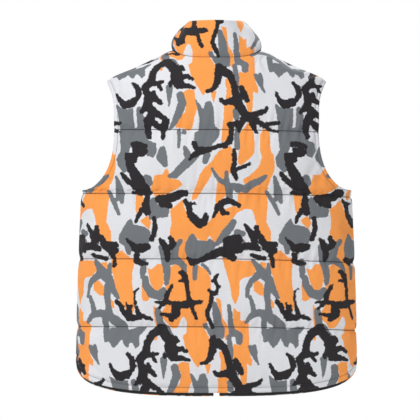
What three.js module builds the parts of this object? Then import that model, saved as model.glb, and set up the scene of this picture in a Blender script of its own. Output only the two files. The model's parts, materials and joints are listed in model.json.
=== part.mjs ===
import * as THREE from 'three';

// An insulated, horizontally quilted zip vest, held up by its hang loop with both fronts closed.
// Sizes are in millimetres. X runs to the wearer's right, Y to the wearer's front and Z up.
// Heights are counted from the collar seam at the middle of the back.

const garment = {
  backLength: 711,      // collar seam to the back hem
  frontDrop: 5,         // the front hem hangs this much lower
  sideRise: 70,         // the hem rises this much from the middle to the side seam
  hemWidth: 600,
  chestWidth: 576,      // underarm to underarm
  underarm: 282,        // collar seam down to the underarm
  shoulderWidth: 468,   // tip to tip
  shoulderTip: 51,      // collar seam down to the shoulder tip
  acrossBack: 436,      // narrowest width between the armholes
  acrossFront: 412,
  armholeBend: 170,     // where the armhole leaves its underarm curve
  armholeFlare: 110,    // where it starts to run out to the shoulder tip
  depth: 190,           // chest depth, back to front
};

const neck = {
  width: 190,
  rise: 16,             // the neck point stands this much above the back seam
  backDepth: 60,        // side seam plane to the back of the neck
  sideDepth: 62,        // front half depth at the neck point
  frontDrop: 70,        // collar seam at the centre front
  slimFrom: 190,        // the back starts to slim towards the neck here
};

const collar = {
  backHeight: 78,
  frontTop: 5,          // height of the collar's front corners
  topWidth: 116,
  topBackDepth: 52,
  splitInset: 10,       // the collar's front part starts this far in from the neck point
  frontSpan: 85,        // shortest run of the collar's front part, which its margins are a share of
  seamGap: 3,           // between the collar's lower edge and the panels under it
};

const padding = {
  full: 12.6,           // shell, filling and lining together
  edge: 4.6,            // at a sewn edge
  nearEdge: 6.6,        // where the filling starts
  cloth: 1,
  gap: 0.3,             // clearance between pieces that lie on each other
  liningGap: 1,         // between the filling and the lining
};

const fold = { inset: 45 };  // the fold that each front opens along meets the hem this far in

const zip = {
  plane: 3,             // the tape's middle lies this far behind the front's face
  edge: 6.5,            // the cloth stops this far from the middle
  tapeFrom: 3.3,
  tapeTo: 10.8,
  tapeThickness: 0.8,
  teethThickness: 3.4,
  teethInner: 1.6,
  spineInner: 2.2,
  spineOuter: 3,
  pitch: 7,
  hemMargin: 4,
  topMargin: 8,
  boxLength: 9,
  boxInner: 0.9,
  boxWall: 0.6,
  pinLength: 20,
  stopLength: 3,
};

const slider = { length: 9, halfWidth: 5.5, plate: 1.5, clearance: 0.5, postHalf: 1.2 };
const pull = { width: 7, length: 34, thickness: 1.8, bail: 4, bailDepth: 2.4, bailHalf: 1.6 };
const draftFlap = { sewnSide: 30, freeSide: 20, thickness: 1.2, below: 14, above: 20, behind: 1 };
const pocket = { from: 38, width: 136, aboveHem: 104, height: 160, depth: 9.5, wall: 1.5, gusset: 3 };
const flap = { overhang: 4, rise: 16, length: 62, wall: 1.5, knee: 10 };
const snap = { studRadius: 6, studHeight: 2, capRadius: 7.5, capHeight: 1.6, below: 46 };
const loop = { width: 60, height: 20, strap: 5, thickness: 2, clear: 4.9 };
const label = { width: 50, height: 26, thickness: 0.8, below: 11, clear: 1.2 };

const sideHem = garment.backLength - garment.sideRise;
const frontLength = garment.backLength + garment.frontDrop;
const splitWidth = neck.width - 2 * collar.splitInset;
const pocketTo = pocket.from + pocket.width;
const pocketBottom = frontLength - pocket.aboveHem;
const pocketTop = pocketBottom - pocket.height;

const colours = {
  shell: 0xf08a3c, filling: 0xe8e6df, lining: 0x1d1c20, tape: 0x232226, teeth: 0x2b2a2e,
  metal: 0x8f9094, strap: 0x17171a, label: 0x3a393d,
};

const mix = (a, b, t) => a + (b - a) * t;
const clamp = (t, low, high) => Math.min(Math.max(t, low), high);
const ease = (t) => clamp(t, 0, 1) ** 2 * (3 - 2 * clamp(t, 0, 1));

// A smooth curve through [place, value] pairs in rising order that never overshoots them.
function monotoneCurve(pairs) {
  const steps = pairs.slice(1).map((b, i) => (b[1] - pairs[i][1]) / (b[0] - pairs[i][0]));
  const slopes = pairs.map((_, i) => {
    if (i === 0) return steps[0];
    if (i === steps.length) return steps[i - 1];
    const [before, after] = [steps[i - 1], steps[i]];
    return before * after <= 0 ? 0 : (2 * before * after) / (before + after);
  });
  return (place) => {
    const i = clamp(pairs.findIndex((b) => place < b[0]), 1, pairs.length - 1);
    const last = place >= pairs[pairs.length - 1][0] ? pairs.length - 1 : i;
    const [a, b] = [pairs[last - 1], pairs[last]];
    const span = b[0] - a[0];
    const t = (place - a[0]) / span;
    if (t > 1) return b[1] + slopes[last] * (place - b[0]);
    if (t < 0) return a[1] + slopes[last - 1] * (place - a[0]);
    return (2 * t ** 3 - 3 * t ** 2 + 1) * a[1] + (t ** 3 - 2 * t ** 2 + t) * span * slopes[last - 1]
      + (3 * t ** 2 - 2 * t ** 3) * b[1] + (t ** 3 - t ** 2) * span * slopes[last];
  };
}

// The garment's half width at each height, from the hem over the shoulders to the neck.
const shoulderRun = (garment.shoulderWidth - neck.width) / 2 / (garment.shoulderTip + neck.rise);
const halfWidth = monotoneCurve([
  [-garment.backLength - 40, garment.hemWidth / 2],
  [-sideHem, garment.hemWidth / 2 - 0.5],
  [-garment.underarm, garment.chestWidth / 2],
  [mix(-garment.underarm, -garment.shoulderTip, 0.57),
    mix(garment.chestWidth, garment.shoulderWidth, 0.33) / 2],
  [-garment.shoulderTip, garment.shoulderWidth / 2],
  [mix(-garment.shoulderTip, neck.rise, 0.5), (garment.shoulderWidth + neck.width) / 4],
  [neck.rise, neck.width / 2],
  [neck.rise + 20, neck.width / 2 - 20 * shoulderRun],
]);

// Half depth of the front (side 1) and of the back (side -1).
function halfDepth(z, side) {
  if (side > 0) {
    return mix(garment.depth / 2, neck.sideDepth, ease((z + neck.frontDrop + 8) / (neck.frontDrop + neck.rise)));
  }
  return mix(garment.depth / 2, neck.backDepth, ease((z + neck.slimFrom) / neck.slimFrom));
}

// The point of the outer face at (x, z) and its outward normal.
function onBody(x, z, side) {
  const step = 0.5;
  const e = halfWidth(z);
  const d = halfDepth(z, side);
  const share = clamp(x / e, -1, 1);
  const y = side * d * Math.sqrt(1 - share * share);
  const eSlope = (halfWidth(z + step) - halfWidth(z - step)) / (2 * step);
  const dSlope = (halfDepth(z + step, side) - halfDepth(z - step, side)) / (2 * step);
  const normal = new THREE.Vector3(
    x / e ** 2,
    y / d ** 2,
    (-x * x * eSlope) / e ** 3 - (y * y * dSlope) / d ** 3,
  );
  return { p: new THREE.Vector3(x, y + (side * padding.gap) / 2, z), n: normal.normalize() };
}

// Outlines, as points [x, z] of the wearer's right half.
const trace = (path, from, to, count = 60) => (
  Array.from({ length: count + 1 }, (_, i) => path(mix(from, to, i / count)))
);

function hemPoint(angle, side) {
  const length = garment.backLength + (side > 0 ? garment.frontDrop : 0);
  const z = -sideHem - (length - sideHem) * Math.cos(angle) ** (2 / 3);
  return [halfWidth(z) * Math.sin(angle) ** (2 / 3), z];
}
const hemAngle = (x) => Math.asin((x / (garment.hemWidth / 2)) ** 1.5);

function armhole(side) {
  const inner = (side > 0 ? garment.acrossFront : garment.acrossBack) / 2;
  const outer = halfWidth(-garment.underarm);
  const tip = garment.shoulderWidth / 2;
  const curve = (a) => [
    outer - (outer - inner) * Math.cos(a),
    -garment.armholeBend - (garment.underarm - garment.armholeBend) * Math.sin(a),
  ];
  const flare = (t) => [
    inner + (tip - inner) * t * t,
    mix(-garment.armholeFlare, -garment.shoulderTip, t),
  ];
  return [...trace(curve, Math.PI / 2, 0, 30), ...trace(flare, 0, 1, 20)];
}

const sideSeam = () => trace((z) => [halfWidth(z), z], -sideHem, -garment.underarm);
const shoulder = () => trace((z) => [halfWidth(z), z], neck.rise, -garment.shoulderTip);
const backNeck = (x) => [x, neck.rise * Math.abs(x / (neck.width / 2)) ** 4];
const frontNeck = (angle) => [
  (neck.width / 2) * Math.sin(angle),
  neck.rise - (neck.rise + neck.frontDrop) * Math.cos(angle),
];
const mirrored = (points) => points.map(([x, z]) => [-x, z]);
const reversed = (points) => [...points].reverse();

// A function that runs along points at an even pace, from 0 to 1.
function pace(points) {
  const reach = [0];
  points.slice(1).forEach(([x, z], i) => {
    reach.push(reach[i] + Math.hypot(x - points[i][0], z - points[i][1]));
  });
  const total = reach[reach.length - 1];
  return (share) => {
    const at = share * total;
    const i = clamp(reach.findIndex((r) => r >= at), 1, points.length - 1);
    const t = (at - reach[i - 1]) / (reach[i] - reach[i - 1] || 1);
    return [mix(points[i - 1][0], points[i][0], t), mix(points[i - 1][1], points[i][1], t)];
  };
}

// Shares of a panel at which it has a row of points: both edges, the line near each edge where the
// filling starts, the line where it has its full loft, and count cells between.
function rows(size, count, low, high, crowd = 1) {
  const [a, b] = low.map((mm) => mm / size);
  const [c, d] = high.map((mm) => 1 - mm / size);
  const inner = Array.from({ length: count + 1 }, (_, i) => mix(b, d, 1 - (1 - i / count) ** crowd));
  return [0, a, ...inner, c, 1];
}

// A grid of [x, z] that fills the four outlines of a panel.
function fillPanel({ bottom, top, left, right }, us, vs) {
  const [b, t, l, r] = [bottom, top, left, right].map(pace);
  const corner = (u, v, k) => (
    (1 - u) * (1 - v) * b(0)[k] + u * (1 - v) * b(1)[k] + (1 - u) * v * t(0)[k] + u * v * t(1)[k]
  );
  const at = (u, v, k) => (
    mix(b(u)[k], t(u)[k], v) + mix(l(v)[k], r(v)[k], u) - corner(u, v, k)
  );
  return vs.map((v) => us.map((u) => [at(u, v, 0), at(u, v, 1)]));
}

// How thick the padding is at a grid node, by how far the node is from the nearest edge.
function loft(i, j, columns, lines) {
  const ring = Math.min(i, j, columns - 1 - i, lines - 1 - j);
  return [padding.edge, padding.nearEdge, padding.full][Math.min(ring, 2)];
}

const withLoft = (grid) => grid.map((line, j) => (
  line.map((node, i) => ({ ...node, thick: loft(i, j, line.length, grid.length) }))
));

// A closed solid between two faces, which lie from(node) and to(node) inward of the grid.
function slab(grid, from, to) {
  const columns = grid[0].length;
  const count = columns * grid.length;
  const place = (node, inward) => node.p.clone().addScaledVector(node.n, -inward);
  const points = [from, to].flatMap((depth) => grid.flat().map((node) => place(node, depth(node))));
  const faces = [];
  const quad = (a, b, c, d) => faces.push(a, b, c, a, c, d);
  for (let j = 0; j < grid.length - 1; j += 1) {
    for (let i = 0; i < columns - 1; i += 1) {
      const a = j * columns + i;
      quad(a, a + 1, a + columns + 1, a + columns);
      quad(count + a, count + a + columns, count + a + columns + 1, count + a + 1);
    }
  }
  const edge = [
    ...Array.from({ length: columns - 1 }, (_, i) => i),
    ...Array.from({ length: grid.length - 1 }, (_, j) => j * columns + columns - 1),
    ...Array.from({ length: columns - 1 }, (_, i) => count - 1 - i),
    ...Array.from({ length: grid.length - 1 }, (_, j) => (grid.length - 1 - j) * columns),
  ];
  edge.forEach((a, k) => {
    const b = edge[(k + 1) % edge.length];
    quad(b, a, count + a, count + b);
  });
  let volume = 0;
  for (let k = 0; k < faces.length; k += 3) {
    const [a, b, c] = [points[faces[k]], points[faces[k + 1]], points[faces[k + 2]]];
    volume += a.dot(b.clone().cross(c));
  }
  const index = volume > 0 ? faces : faces.reverse();
  const geometry = new THREE.BufferGeometry();
  geometry.setAttribute('position', new THREE.Float32BufferAttribute(points.flatMap((p) => p.toArray()), 3));
  geometry.setIndex(index);
  return geometry;
}

const vest = new THREE.Group();

function add(name, geometry, colour, roughness = 0.85, metalness = 0) {
  const material = new THREE.MeshStandardMaterial({ color: colour, roughness, metalness });
  const mesh = new THREE.Mesh(geometry, material);
  mesh.name = name;
  vest.add(mesh);
  return mesh;
}

// A quilted panel is a shell, its filling and a lining, which lie on each other.
function addPadded(name, grid) {
  const nodes = withLoft(grid);
  const filled = nodes.slice(1, -1).map((line) => line.slice(1, -1));
  const { cloth, gap, liningGap } = padding;
  add(`${name}_shell`, slab(nodes, () => 0, () => cloth), colours.shell);
  add(`${name}_filling`, slab(filled, () => cloth + gap, (n) => n.thick - cloth - liningGap), colours.filling);
  add(`${name}_lining`, slab(nodes, (n) => n.thick - cloth, (n) => n.thick), colours.lining, 0.6);
}

const toBody = (grid, side, shift = 0) => grid.map((line) => (
  line.map(([x, z]) => {
    const node = onBody(x, z, side);
    node.p.x += shift;
    return node;
  })
));

const flip = (grid) => grid.map((line) => line.map(({ p, n }) => ({
  p: new THREE.Vector3(-p.x, p.y, p.z),
  n: new THREE.Vector3(-n.x, n.y, n.z),
})));

const bodyHeight = garment.backLength - garment.shoulderTip;
const hemMargins = [5, 20];
const seamMargins = [2, 10];
const zipMargins = [7, 14];
const armholeMargins = [6, 18];
const sideMargins = [10, 36];
const sideCell = 100;         // the widest cell of a side part at the hem
const panelRows = rows(bodyHeight, 9, hemMargins, seamMargins, 1.5);

function backGrid() {
  const hem = trace((a) => hemPoint(a, -1), 0, Math.PI / 2, 80);
  const side = [...sideSeam(), ...armhole(-1)];
  const half = [...trace(backNeck, 0, neck.width / 2), ...shoulder()];
  const outline = {
    bottom: [...reversed(mirrored(hem)), ...hem],
    top: [...reversed(mirrored(half)), ...half],
    left: mirrored(side),
    right: side,
  };
  const columns = rows(garment.chestWidth, 14, armholeMargins, armholeMargins);
  return toBody(fillPanel(outline, columns, panelRows), -1);
}

// The front is cut in two at the fold that it opens along: the centre turns back, the side stays.
const neckSplit = Math.asin(splitWidth / neck.width);
const splitPoint = frontNeck(neckSplit);
const hemSplit = hemAngle(garment.hemWidth / 2 - fold.inset);
const foldLine = () => [hemPoint(hemSplit, 1), splitPoint];

function frontSideGrid() {
  const outline = {
    bottom: trace((a) => hemPoint(a, 1), hemSplit, Math.PI / 2),
    top: [...trace(frontNeck, neckSplit, Math.PI / 2, 30), ...shoulder()],
    left: foldLine(),
    right: [...sideSeam(), ...armhole(1)],
  };
  const narrowest = (garment.acrossFront - splitWidth) / 2 - 1;
  const count = Math.ceil(garment.hemWidth / 2 / sideCell);
  const columns = rows(narrowest, count, seamMargins, sideMargins);
  return toBody(fillPanel(outline, columns, panelRows), 1, padding.gap / 2);
}

function frontGrid() {
  const start = Math.asin(zip.edge / (neck.width / 2));
  const hem = trace((a) => hemPoint(a, 1), hemAngle(zip.edge), hemSplit);
  const collarSeam = trace(frontNeck, start, neckSplit);
  const outline = {
    bottom: hem,
    top: collarSeam,
    left: [hem[0], collarSeam[0]],
    right: foldLine(),
  };
  const narrowest = splitWidth / 2 - zip.edge;
  const columns = rows(narrowest, 4, zipMargins, seamMargins);
  return toBody(fillPanel(outline, columns, panelRows), 1, -padding.gap / 2);
}

// The collar, from angle 0 at the middle of the back to half a turn at the centre front.
function collarPoint(angle, rise) {
  const side = angle > Math.PI / 2 ? 1 : -1;
  const spread = (neck.width / 2) * Math.sin(angle);
  const [x, z] = side > 0 ? frontNeck(Math.PI - angle) : backNeck(spread);
  const base = onBody(x, z, side).p;
  base.z += collar.seamGap;
  const front = garment.depth / 2;
  const drop = ease(angle / (Math.PI / 2) - 1) ** 0.8;
  const top = new THREE.Vector3(
    (collar.topWidth / 2) * Math.sin(angle),
    mix(-collar.topBackDepth, front, (1 - Math.cos(angle)) / 2),
    mix(collar.backHeight, collar.frontTop, drop),
  );
  return base.lerp(top, rise);
}

function collarNode(angle, rise) {
  const step = 0.004;
  const p = collarPoint(angle, rise);
  const along = collarPoint(angle + step, rise).sub(collarPoint(angle - step, rise));
  const up = collarPoint(angle, rise + step).sub(collarPoint(angle, rise - step));
  const n = up.cross(along).normalize();
  const outward = new THREE.Vector3(p.x, p.y - 20, 0);
  return { p, n: n.dot(outward) < 0 ? n.negate() : n };
}

const collarRows = rows(collar.backHeight, 2, seamMargins, [4, 12]);
const splitAngle = Math.PI - neckSplit;

function backCollarGrid() {
  const arc = splitAngle * 2 * 85;
  const stop = splitAngle - padding.gap / 85;
  const angles = rows(arc, 12, seamMargins, seamMargins).map((u) => mix(-stop, stop, u));
  return collarRows.map((v) => angles.map((a) => {
    const node = collarNode(Math.abs(a), v);
    const sign = a < 0 ? -1 : 1;
    return {
      p: new THREE.Vector3(sign * node.p.x, node.p.y, node.p.z),
      n: new THREE.Vector3(sign * node.n.x, node.n.y, node.n.z),
    };
  }));
}

function frontCollarGrid() {
  const columns = rows(collar.frontSpan, 4, seamMargins, zipMargins);
  return collarRows.map((v) => {
    const radius = mix(neck.width, collar.topWidth, v) / 2;
    const last = Math.PI - Math.asin(zip.edge / radius);
    return columns.map((u) => collarNode(mix(splitAngle, last, u), v));
  });
}

function addPanels() {
  addPadded('back', backGrid());
  addPadded('collar_back', backCollarGrid());
  const pieces = { side: frontSideGrid(), front: frontGrid(), collar: frontCollarGrid() };
  Object.entries(pieces).forEach(([piece, grid]) => {
    addPadded(`right_${piece}`, grid);
    addPadded(`left_${piece}`, flip(grid));
  });
}

// A block from its low to its high corner.
function block(low, high) {
  const size = high.map((h, k) => h - low[k]);
  const middle = high.map((h, k) => (h + low[k]) / 2);
  return new THREE.BoxGeometry(...size).translate(...middle);
}

const mirrorBlock = (low, high, sign) => (
  sign > 0 ? block(low, high) : block([-high[0], low[1], low[2]], [-low[0], high[1], high[2]])
);

const zipPlane = garment.depth / 2 - zip.plane;
const zipBottom = zip.hemMargin - frontLength;
const zipTop = collar.frontTop - zip.topMargin;

// One side of the zip's teeth: a spine along the tape's edge with a tooth at each pitch.
function teethRow(sign, bottom, offset) {
  const outline = [[zip.spineOuter, bottom], [zip.spineOuter, zipTop], [zip.spineInner, zipTop]];
  const count = Math.floor((zipTop - bottom - offset) / zip.pitch);
  for (let k = 0; k < count; k += 1) {
    const z = zipTop - offset - k * zip.pitch;
    const tooth = [zip.spineInner, zip.teethInner, zip.teethInner, zip.spineInner];
    tooth.forEach((x, n) => outline.push([x, z - (n > 1 ? zip.pitch * 0.45 : 0) - 0.2]));
  }
  outline.push([zip.spineInner, bottom]);
  const shape = new THREE.Shape(outline.map(([x, z]) => new THREE.Vector2(sign * x, z)));
  const geometry = new THREE.ExtrudeGeometry(shape, { depth: zip.teethThickness, bevelEnabled: false });
  return geometry.rotateX(Math.PI / 2).translate(0, zipPlane + zip.teethThickness / 2, 0);
}

function addZip() {
  const half = zip.teethThickness / 2;
  const tape = zip.tapeThickness / 2;
  const gap = padding.gap;
  [['right', 1, zip.boxLength], ['left', -1, zip.pinLength]].forEach(([name, sign, start]) => {
    const bottom = zipBottom + start + gap;
    add(`${name}_zip_tape`, mirrorBlock(
      [zip.tapeFrom, zipPlane - tape, zipBottom],
      [zip.tapeTo, zipPlane + tape, zipTop + zip.stopLength],
      sign,
    ), colours.tape);
    const offset = sign > 0 ? 0 : zip.pitch / 2;
    add(`${name}_zip_teeth`, teethRow(sign, bottom, offset), colours.teeth, 0.45);
    add(`${name}_top_stop`, mirrorBlock(
      [zip.teethInner, zipPlane - half, zipTop + gap],
      [zip.spineOuter, zipPlane + half, zipTop + gap + zip.stopLength],
      sign,
    ), colours.metal, 0.35, 1);
  });
  add('zip_box', block(
    [-zip.boxInner, zipPlane - half - zip.boxWall, zipBottom],
    [zip.spineOuter, zipPlane + half + zip.boxWall, zipBottom + zip.boxLength],
  ), colours.metal, 0.35, 1);
  add('zip_pin', block(
    [-zip.spineOuter, zipPlane - half, zipBottom],
    [-zip.teethInner, zipPlane + half, zipBottom + zip.pinLength],
  ), colours.metal, 0.35, 1);
  const back = garment.depth / 2 - padding.full - gap - draftFlap.behind;
  add('draft_flap', block(
    [-draftFlap.sewnSide, back - draftFlap.thickness, draftFlap.above - frontLength],
    [draftFlap.freeSide, back, -neck.frontDrop - draftFlap.below],
  ), colours.shell);
}

// The slider's two plates run before and behind the teeth, and its bridge runs between the rows.
const sliderFront = zipPlane + zip.teethThickness / 2 + slider.clearance;
const bailFront = sliderFront + slider.plate + pull.bailDepth;

function addSlider() {
  const behind = zipPlane - zip.teethThickness / 2 - slider.clearance;
  const { halfWidth: w, postHalf: h, plate } = slider;
  const right = [
    [w, sliderFront + plate], [w, sliderFront], [h, sliderFront],
    [h, behind], [w, behind], [w, behind - plate],
  ];
  const outline = [...right, ...reversed(right).map(([x, y]) => [-x, y])];
  const shape = new THREE.Shape(outline.map(([x, y]) => new THREE.Vector2(x, y)));
  const body = new THREE.ExtrudeGeometry(shape, { depth: slider.length, bevelEnabled: false });
  add('zip_slider', body.translate(0, 0, zipTop - slider.length), colours.metal, 0.3, 1);
  const middle = zipTop - slider.length / 2;
  add('slider_bail', block(
    [-pull.bailHalf, sliderFront + plate + padding.gap, middle - pull.bail / 2],
    [pull.bailHalf, bailFront, middle + pull.bail / 2],
  ), colours.metal, 0.3, 1);
  const low = middle - pull.bail / 2 - 0.4;
  const y = bailFront - pull.bailDepth / 2;
  add('zip_pull', block(
    [-pull.width / 2, y - pull.thickness / 2, low - pull.length],
    [pull.width / 2, y + pull.thickness / 2, low],
  ), colours.metal, 0.35, 1);
}

// A piece that stands out from the front's face: its wall lies lift(i, j) out from it.
function raisedSheet(xs, zs, lift, wall) {
  const grid = zs.map((z, j) => xs.map((x, i) => ({ ...onBody(x, z, 1), lift: lift(i, j) })));
  return { outer: (n) => -(n.lift + wall), inner: (n) => -n.lift, grid };
}

const spread = (from, to, count) => Array.from({ length: count + 1 }, (_, i) => mix(from, to, i / count));

function pocketGeometry(sign) {
  const { gusset } = pocket;
  const xs = [pocket.from, ...spread(pocket.from + gusset, pocketTo - gusset, 6), pocketTo];
  const zs = [-pocketBottom, ...spread(gusset - pocketBottom, -pocketTop, 6)];
  const sheet = raisedSheet(xs, zs, (i, j) => (
    i === 0 || j === 0 || i === xs.length - 1 ? padding.gap : pocket.depth
  ), pocket.wall);
  const grid = sign > 0 ? sheet.grid : flipLift(sheet.grid);
  return slab(grid, sheet.outer, sheet.inner);
}

const flipLift = (grid) => grid.map((line) => line.map(({ p, n, lift }) => ({
  p: new THREE.Vector3(-p.x, p.y, p.z), n: new THREE.Vector3(-n.x, n.y, n.z), lift,
})));

const pocketFace = pocket.depth + pocket.wall;
const flapLift = pocketFace + snap.studHeight + 2 * padding.gap;
const flapTop = flap.rise - pocketTop;

function flapGeometry(sign) {
  const xs = spread(pocket.from - flap.overhang, pocketTo + flap.overhang, 7);
  const zs = [flapTop, ...spread(flapTop - flap.knee, flapTop - flap.length, 4)];
  const sheet = raisedSheet(xs, zs, (i, j) => (j === 0 ? padding.gap : flapLift), flap.wall);
  const grid = sign > 0 ? sheet.grid : flipLift(sheet.grid);
  return slab(grid, sheet.outer, sheet.inner);
}

// A round snap part on the front's face, standing from lift to lift + height.
function snapDisc(radius, height, x, z, lift) {
  const node = onBody(Math.abs(x), z, 1);
  const sign = Math.sign(x);
  const n = new THREE.Vector3(sign * node.n.x, node.n.y, node.n.z);
  const p = new THREE.Vector3(x, node.p.y, z).addScaledVector(n, lift + height / 2);
  const turn = new THREE.Quaternion().setFromUnitVectors(new THREE.Vector3(0, 1, 0), n);
  return new THREE.CylinderGeometry(radius, radius, height, 20).applyQuaternion(turn).translate(p.x, p.y, p.z);
}

function addPockets() {
  const middle = (pocket.from + pocketTo) / 2;
  const z = flapTop - snap.below;
  [['right', 1], ['left', -1]].forEach(([name, sign]) => {
    add(`${name}_pocket`, pocketGeometry(sign), colours.shell);
    add(`${name}_pocket_flap`, flapGeometry(sign), colours.shell);
    const stud = snapDisc(snap.studRadius, snap.studHeight, sign * middle, z, pocketFace + padding.gap * 1.6);
    add(`${name}_snap_stud`, stud, colours.metal, 0.35, 1);
    const capLift = flapLift + flap.wall + padding.gap * 1.6;
    const cap = snapDisc(snap.capRadius, snap.capHeight, sign * middle, z, capLift);
    add(`${name}_snap_cap`, cap, colours.metal, 0.35, 1);
  });
}

// The strap that the vest hangs from, and the blank label under it, at the back of the neck.
const loopPlane = padding.full + loop.clear - neck.backDepth;

function addNeckTrim() {
  const arch = (half, height) => trace(
    (a) => [-half * Math.cos(a), height * Math.sin(a) ** 0.6], 0, Math.PI, 20,
  );
  const outer = arch(loop.width / 2, loop.height);
  const inner = reversed(arch(loop.width / 2 - loop.strap, loop.height - loop.strap));
  const shape = new THREE.Shape([...outer, ...inner].map(([x, z]) => new THREE.Vector2(x, z)));
  const strap = new THREE.ExtrudeGeometry(shape, { depth: loop.thickness, bevelEnabled: false });
  const place = loopPlane + loop.thickness / 2;
  add('hang_loop', strap.rotateX(Math.PI / 2).translate(0, place, 0), colours.strap, 0.8);
  const labelPlane = padding.full + label.clear - neck.backDepth;
  add('neck_label', block(
    [-label.width / 2, labelPlane - label.thickness / 2, -label.below - label.height],
    [label.width / 2, labelPlane + label.thickness / 2, -label.below],
  ), colours.label, 0.8);
}

addPanels();
addZip();
addSlider();
addPockets();
addNeckTrim();

// The frame starts at the hang loop, so the garment is moved to bring the loop there.
vest.position.y = -loopPlane;

export default vest;
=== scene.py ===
import json
import math
import bmesh
import bpy
import numpy as np
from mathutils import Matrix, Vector

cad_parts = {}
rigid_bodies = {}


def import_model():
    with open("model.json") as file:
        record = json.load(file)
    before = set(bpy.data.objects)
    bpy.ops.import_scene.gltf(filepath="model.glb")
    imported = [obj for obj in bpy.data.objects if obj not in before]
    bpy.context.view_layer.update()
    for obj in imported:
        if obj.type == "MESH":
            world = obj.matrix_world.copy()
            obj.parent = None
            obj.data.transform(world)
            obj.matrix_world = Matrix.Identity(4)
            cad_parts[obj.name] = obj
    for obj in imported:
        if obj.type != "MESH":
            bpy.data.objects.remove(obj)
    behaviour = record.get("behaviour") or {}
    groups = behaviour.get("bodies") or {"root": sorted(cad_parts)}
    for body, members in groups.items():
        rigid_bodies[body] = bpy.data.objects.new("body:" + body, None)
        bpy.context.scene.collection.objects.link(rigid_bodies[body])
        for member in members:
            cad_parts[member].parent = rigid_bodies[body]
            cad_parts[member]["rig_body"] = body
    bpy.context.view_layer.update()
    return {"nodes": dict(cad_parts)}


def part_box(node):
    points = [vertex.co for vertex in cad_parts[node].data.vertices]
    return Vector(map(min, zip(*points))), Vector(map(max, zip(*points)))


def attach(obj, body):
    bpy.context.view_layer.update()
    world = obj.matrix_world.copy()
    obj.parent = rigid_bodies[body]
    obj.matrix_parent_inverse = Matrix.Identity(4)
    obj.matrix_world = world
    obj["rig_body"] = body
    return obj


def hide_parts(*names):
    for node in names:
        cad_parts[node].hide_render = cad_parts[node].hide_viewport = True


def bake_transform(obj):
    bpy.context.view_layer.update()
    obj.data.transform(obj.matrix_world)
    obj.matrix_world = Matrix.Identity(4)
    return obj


# A quilted, camouflage printed zip vest, filled as if worn and held by its hang loop.
# X runs to the wearer's right, Y to the front and Z up. Lengths are in millimetres until a mesh is made.

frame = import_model()
nodes = frame["nodes"]
scene = bpy.context.scene
print("frame loaded:", len(nodes), "nodes")


# Small tools.

def mix(a, b, t):
    return a + (b - a) * t


def ease(t):
    t = np.clip(t, 0, 1)
    return t * t * (3 - 2 * t)


def toLinear(hexColour):
    shares = [int(hexColour[i:i + 2], 16) / 255 for i in (1, 3, 5)]
    return [s / 12.92 if s <= 0.04045 else ((s + 0.055) / 1.055) ** 2.4 for s in shares] + [1.0]


def addNode(tree, kind, settings=None, inputs=None):
    node = tree.nodes.new(kind)
    for key, value in (settings or {}).items():
        setattr(node, key, value)
    for key, value in (inputs or {}).items():
        if isinstance(value, bpy.types.NodeSocket):
            tree.links.new(value, node.inputs[key])
        else:
            node.inputs[key].default_value = value
    return node


def newMaterial(name, finish):
    material = bpy.data.materials.new(name)
    material.use_nodes = True
    tree = material.node_tree
    tree.nodes.clear()
    shader = addNode(tree, "ShaderNodeBsdfPrincipled", inputs=finish)
    addNode(tree, "ShaderNodeOutputMaterial", inputs={"Surface": shader.outputs["BSDF"]})
    return material, tree, shader


def noiseAt(tree, place, wave, detail, dimensions="3D", roughness=0.5):
    # Noise with waves about so many millimetres long.
    return addNode(tree, "ShaderNodeTexNoise", {"noise_dimensions": dimensions}, {
        "Vector": place, "Scale": 1000 / wave, "Detail": detail, "Roughness": roughness}).outputs["Fac"]


def rescale(tree, value, low, high, start=0.0, end=1.0, kind="LINEAR"):
    return addNode(tree, "ShaderNodeMapRange", {"interpolation_type": kind}, {
        "Value": value, "From Min": start, "From Max": end, "To Min": low, "To Max": high}).outputs["Result"]


def calculate(tree, operation, *terms):
    return addNode(tree, "ShaderNodeMath", {"operation": operation}, dict(enumerate(terms))).outputs[0]


def dressSurface(tree, shader, colour, shade, height, strength, distance):
    # The colour darkened and lightened by its shade, and the relief.
    tinted = addNode(tree, "ShaderNodeVectorMath", {"operation": "SCALE"}, {0: colour, "Scale": shade})
    tree.links.new(tinted.outputs[0], shader.inputs["Base Color"])
    bump = addNode(tree, "ShaderNodeBump", inputs={
        "Height": height, "Strength": strength, "Distance": distance})
    tree.links.new(bump.outputs[0], shader.inputs["Normal"])


def addMesh(name, points, faces, materials, faceSlots=None, uvs=None, values=None, smooth=True):
    mesh = bpy.data.meshes.new(name)
    mesh.from_pydata((np.asarray(points) / 1000).tolist(), [], [list(f) for f in faces])
    for material in materials:
        mesh.materials.append(material)
    if faceSlots is not None:
        mesh.polygons.foreach_set("material_index", np.asarray(faceSlots, np.int32))
    if uvs is not None:
        corners = np.empty(len(mesh.loops), np.int32)
        mesh.loops.foreach_get("vertex_index", corners)
        layer = mesh.uv_layers.new(name="cloth")
        layer.data.foreach_set("uv", (np.asarray(uvs)[corners] / 1000).astype(np.float32).ravel())
    for key, value in (values or {}).items():
        attribute = mesh.attributes.new(key, "FLOAT", "POINT")
        attribute.data.foreach_set("value", np.asarray(value, np.float32))
    mesh.polygons.foreach_set("use_smooth", np.full(len(mesh.polygons), smooth))
    mesh.update()
    piece = bpy.data.objects.new(name, mesh)
    scene.collection.objects.link(piece)
    return piece


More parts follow.
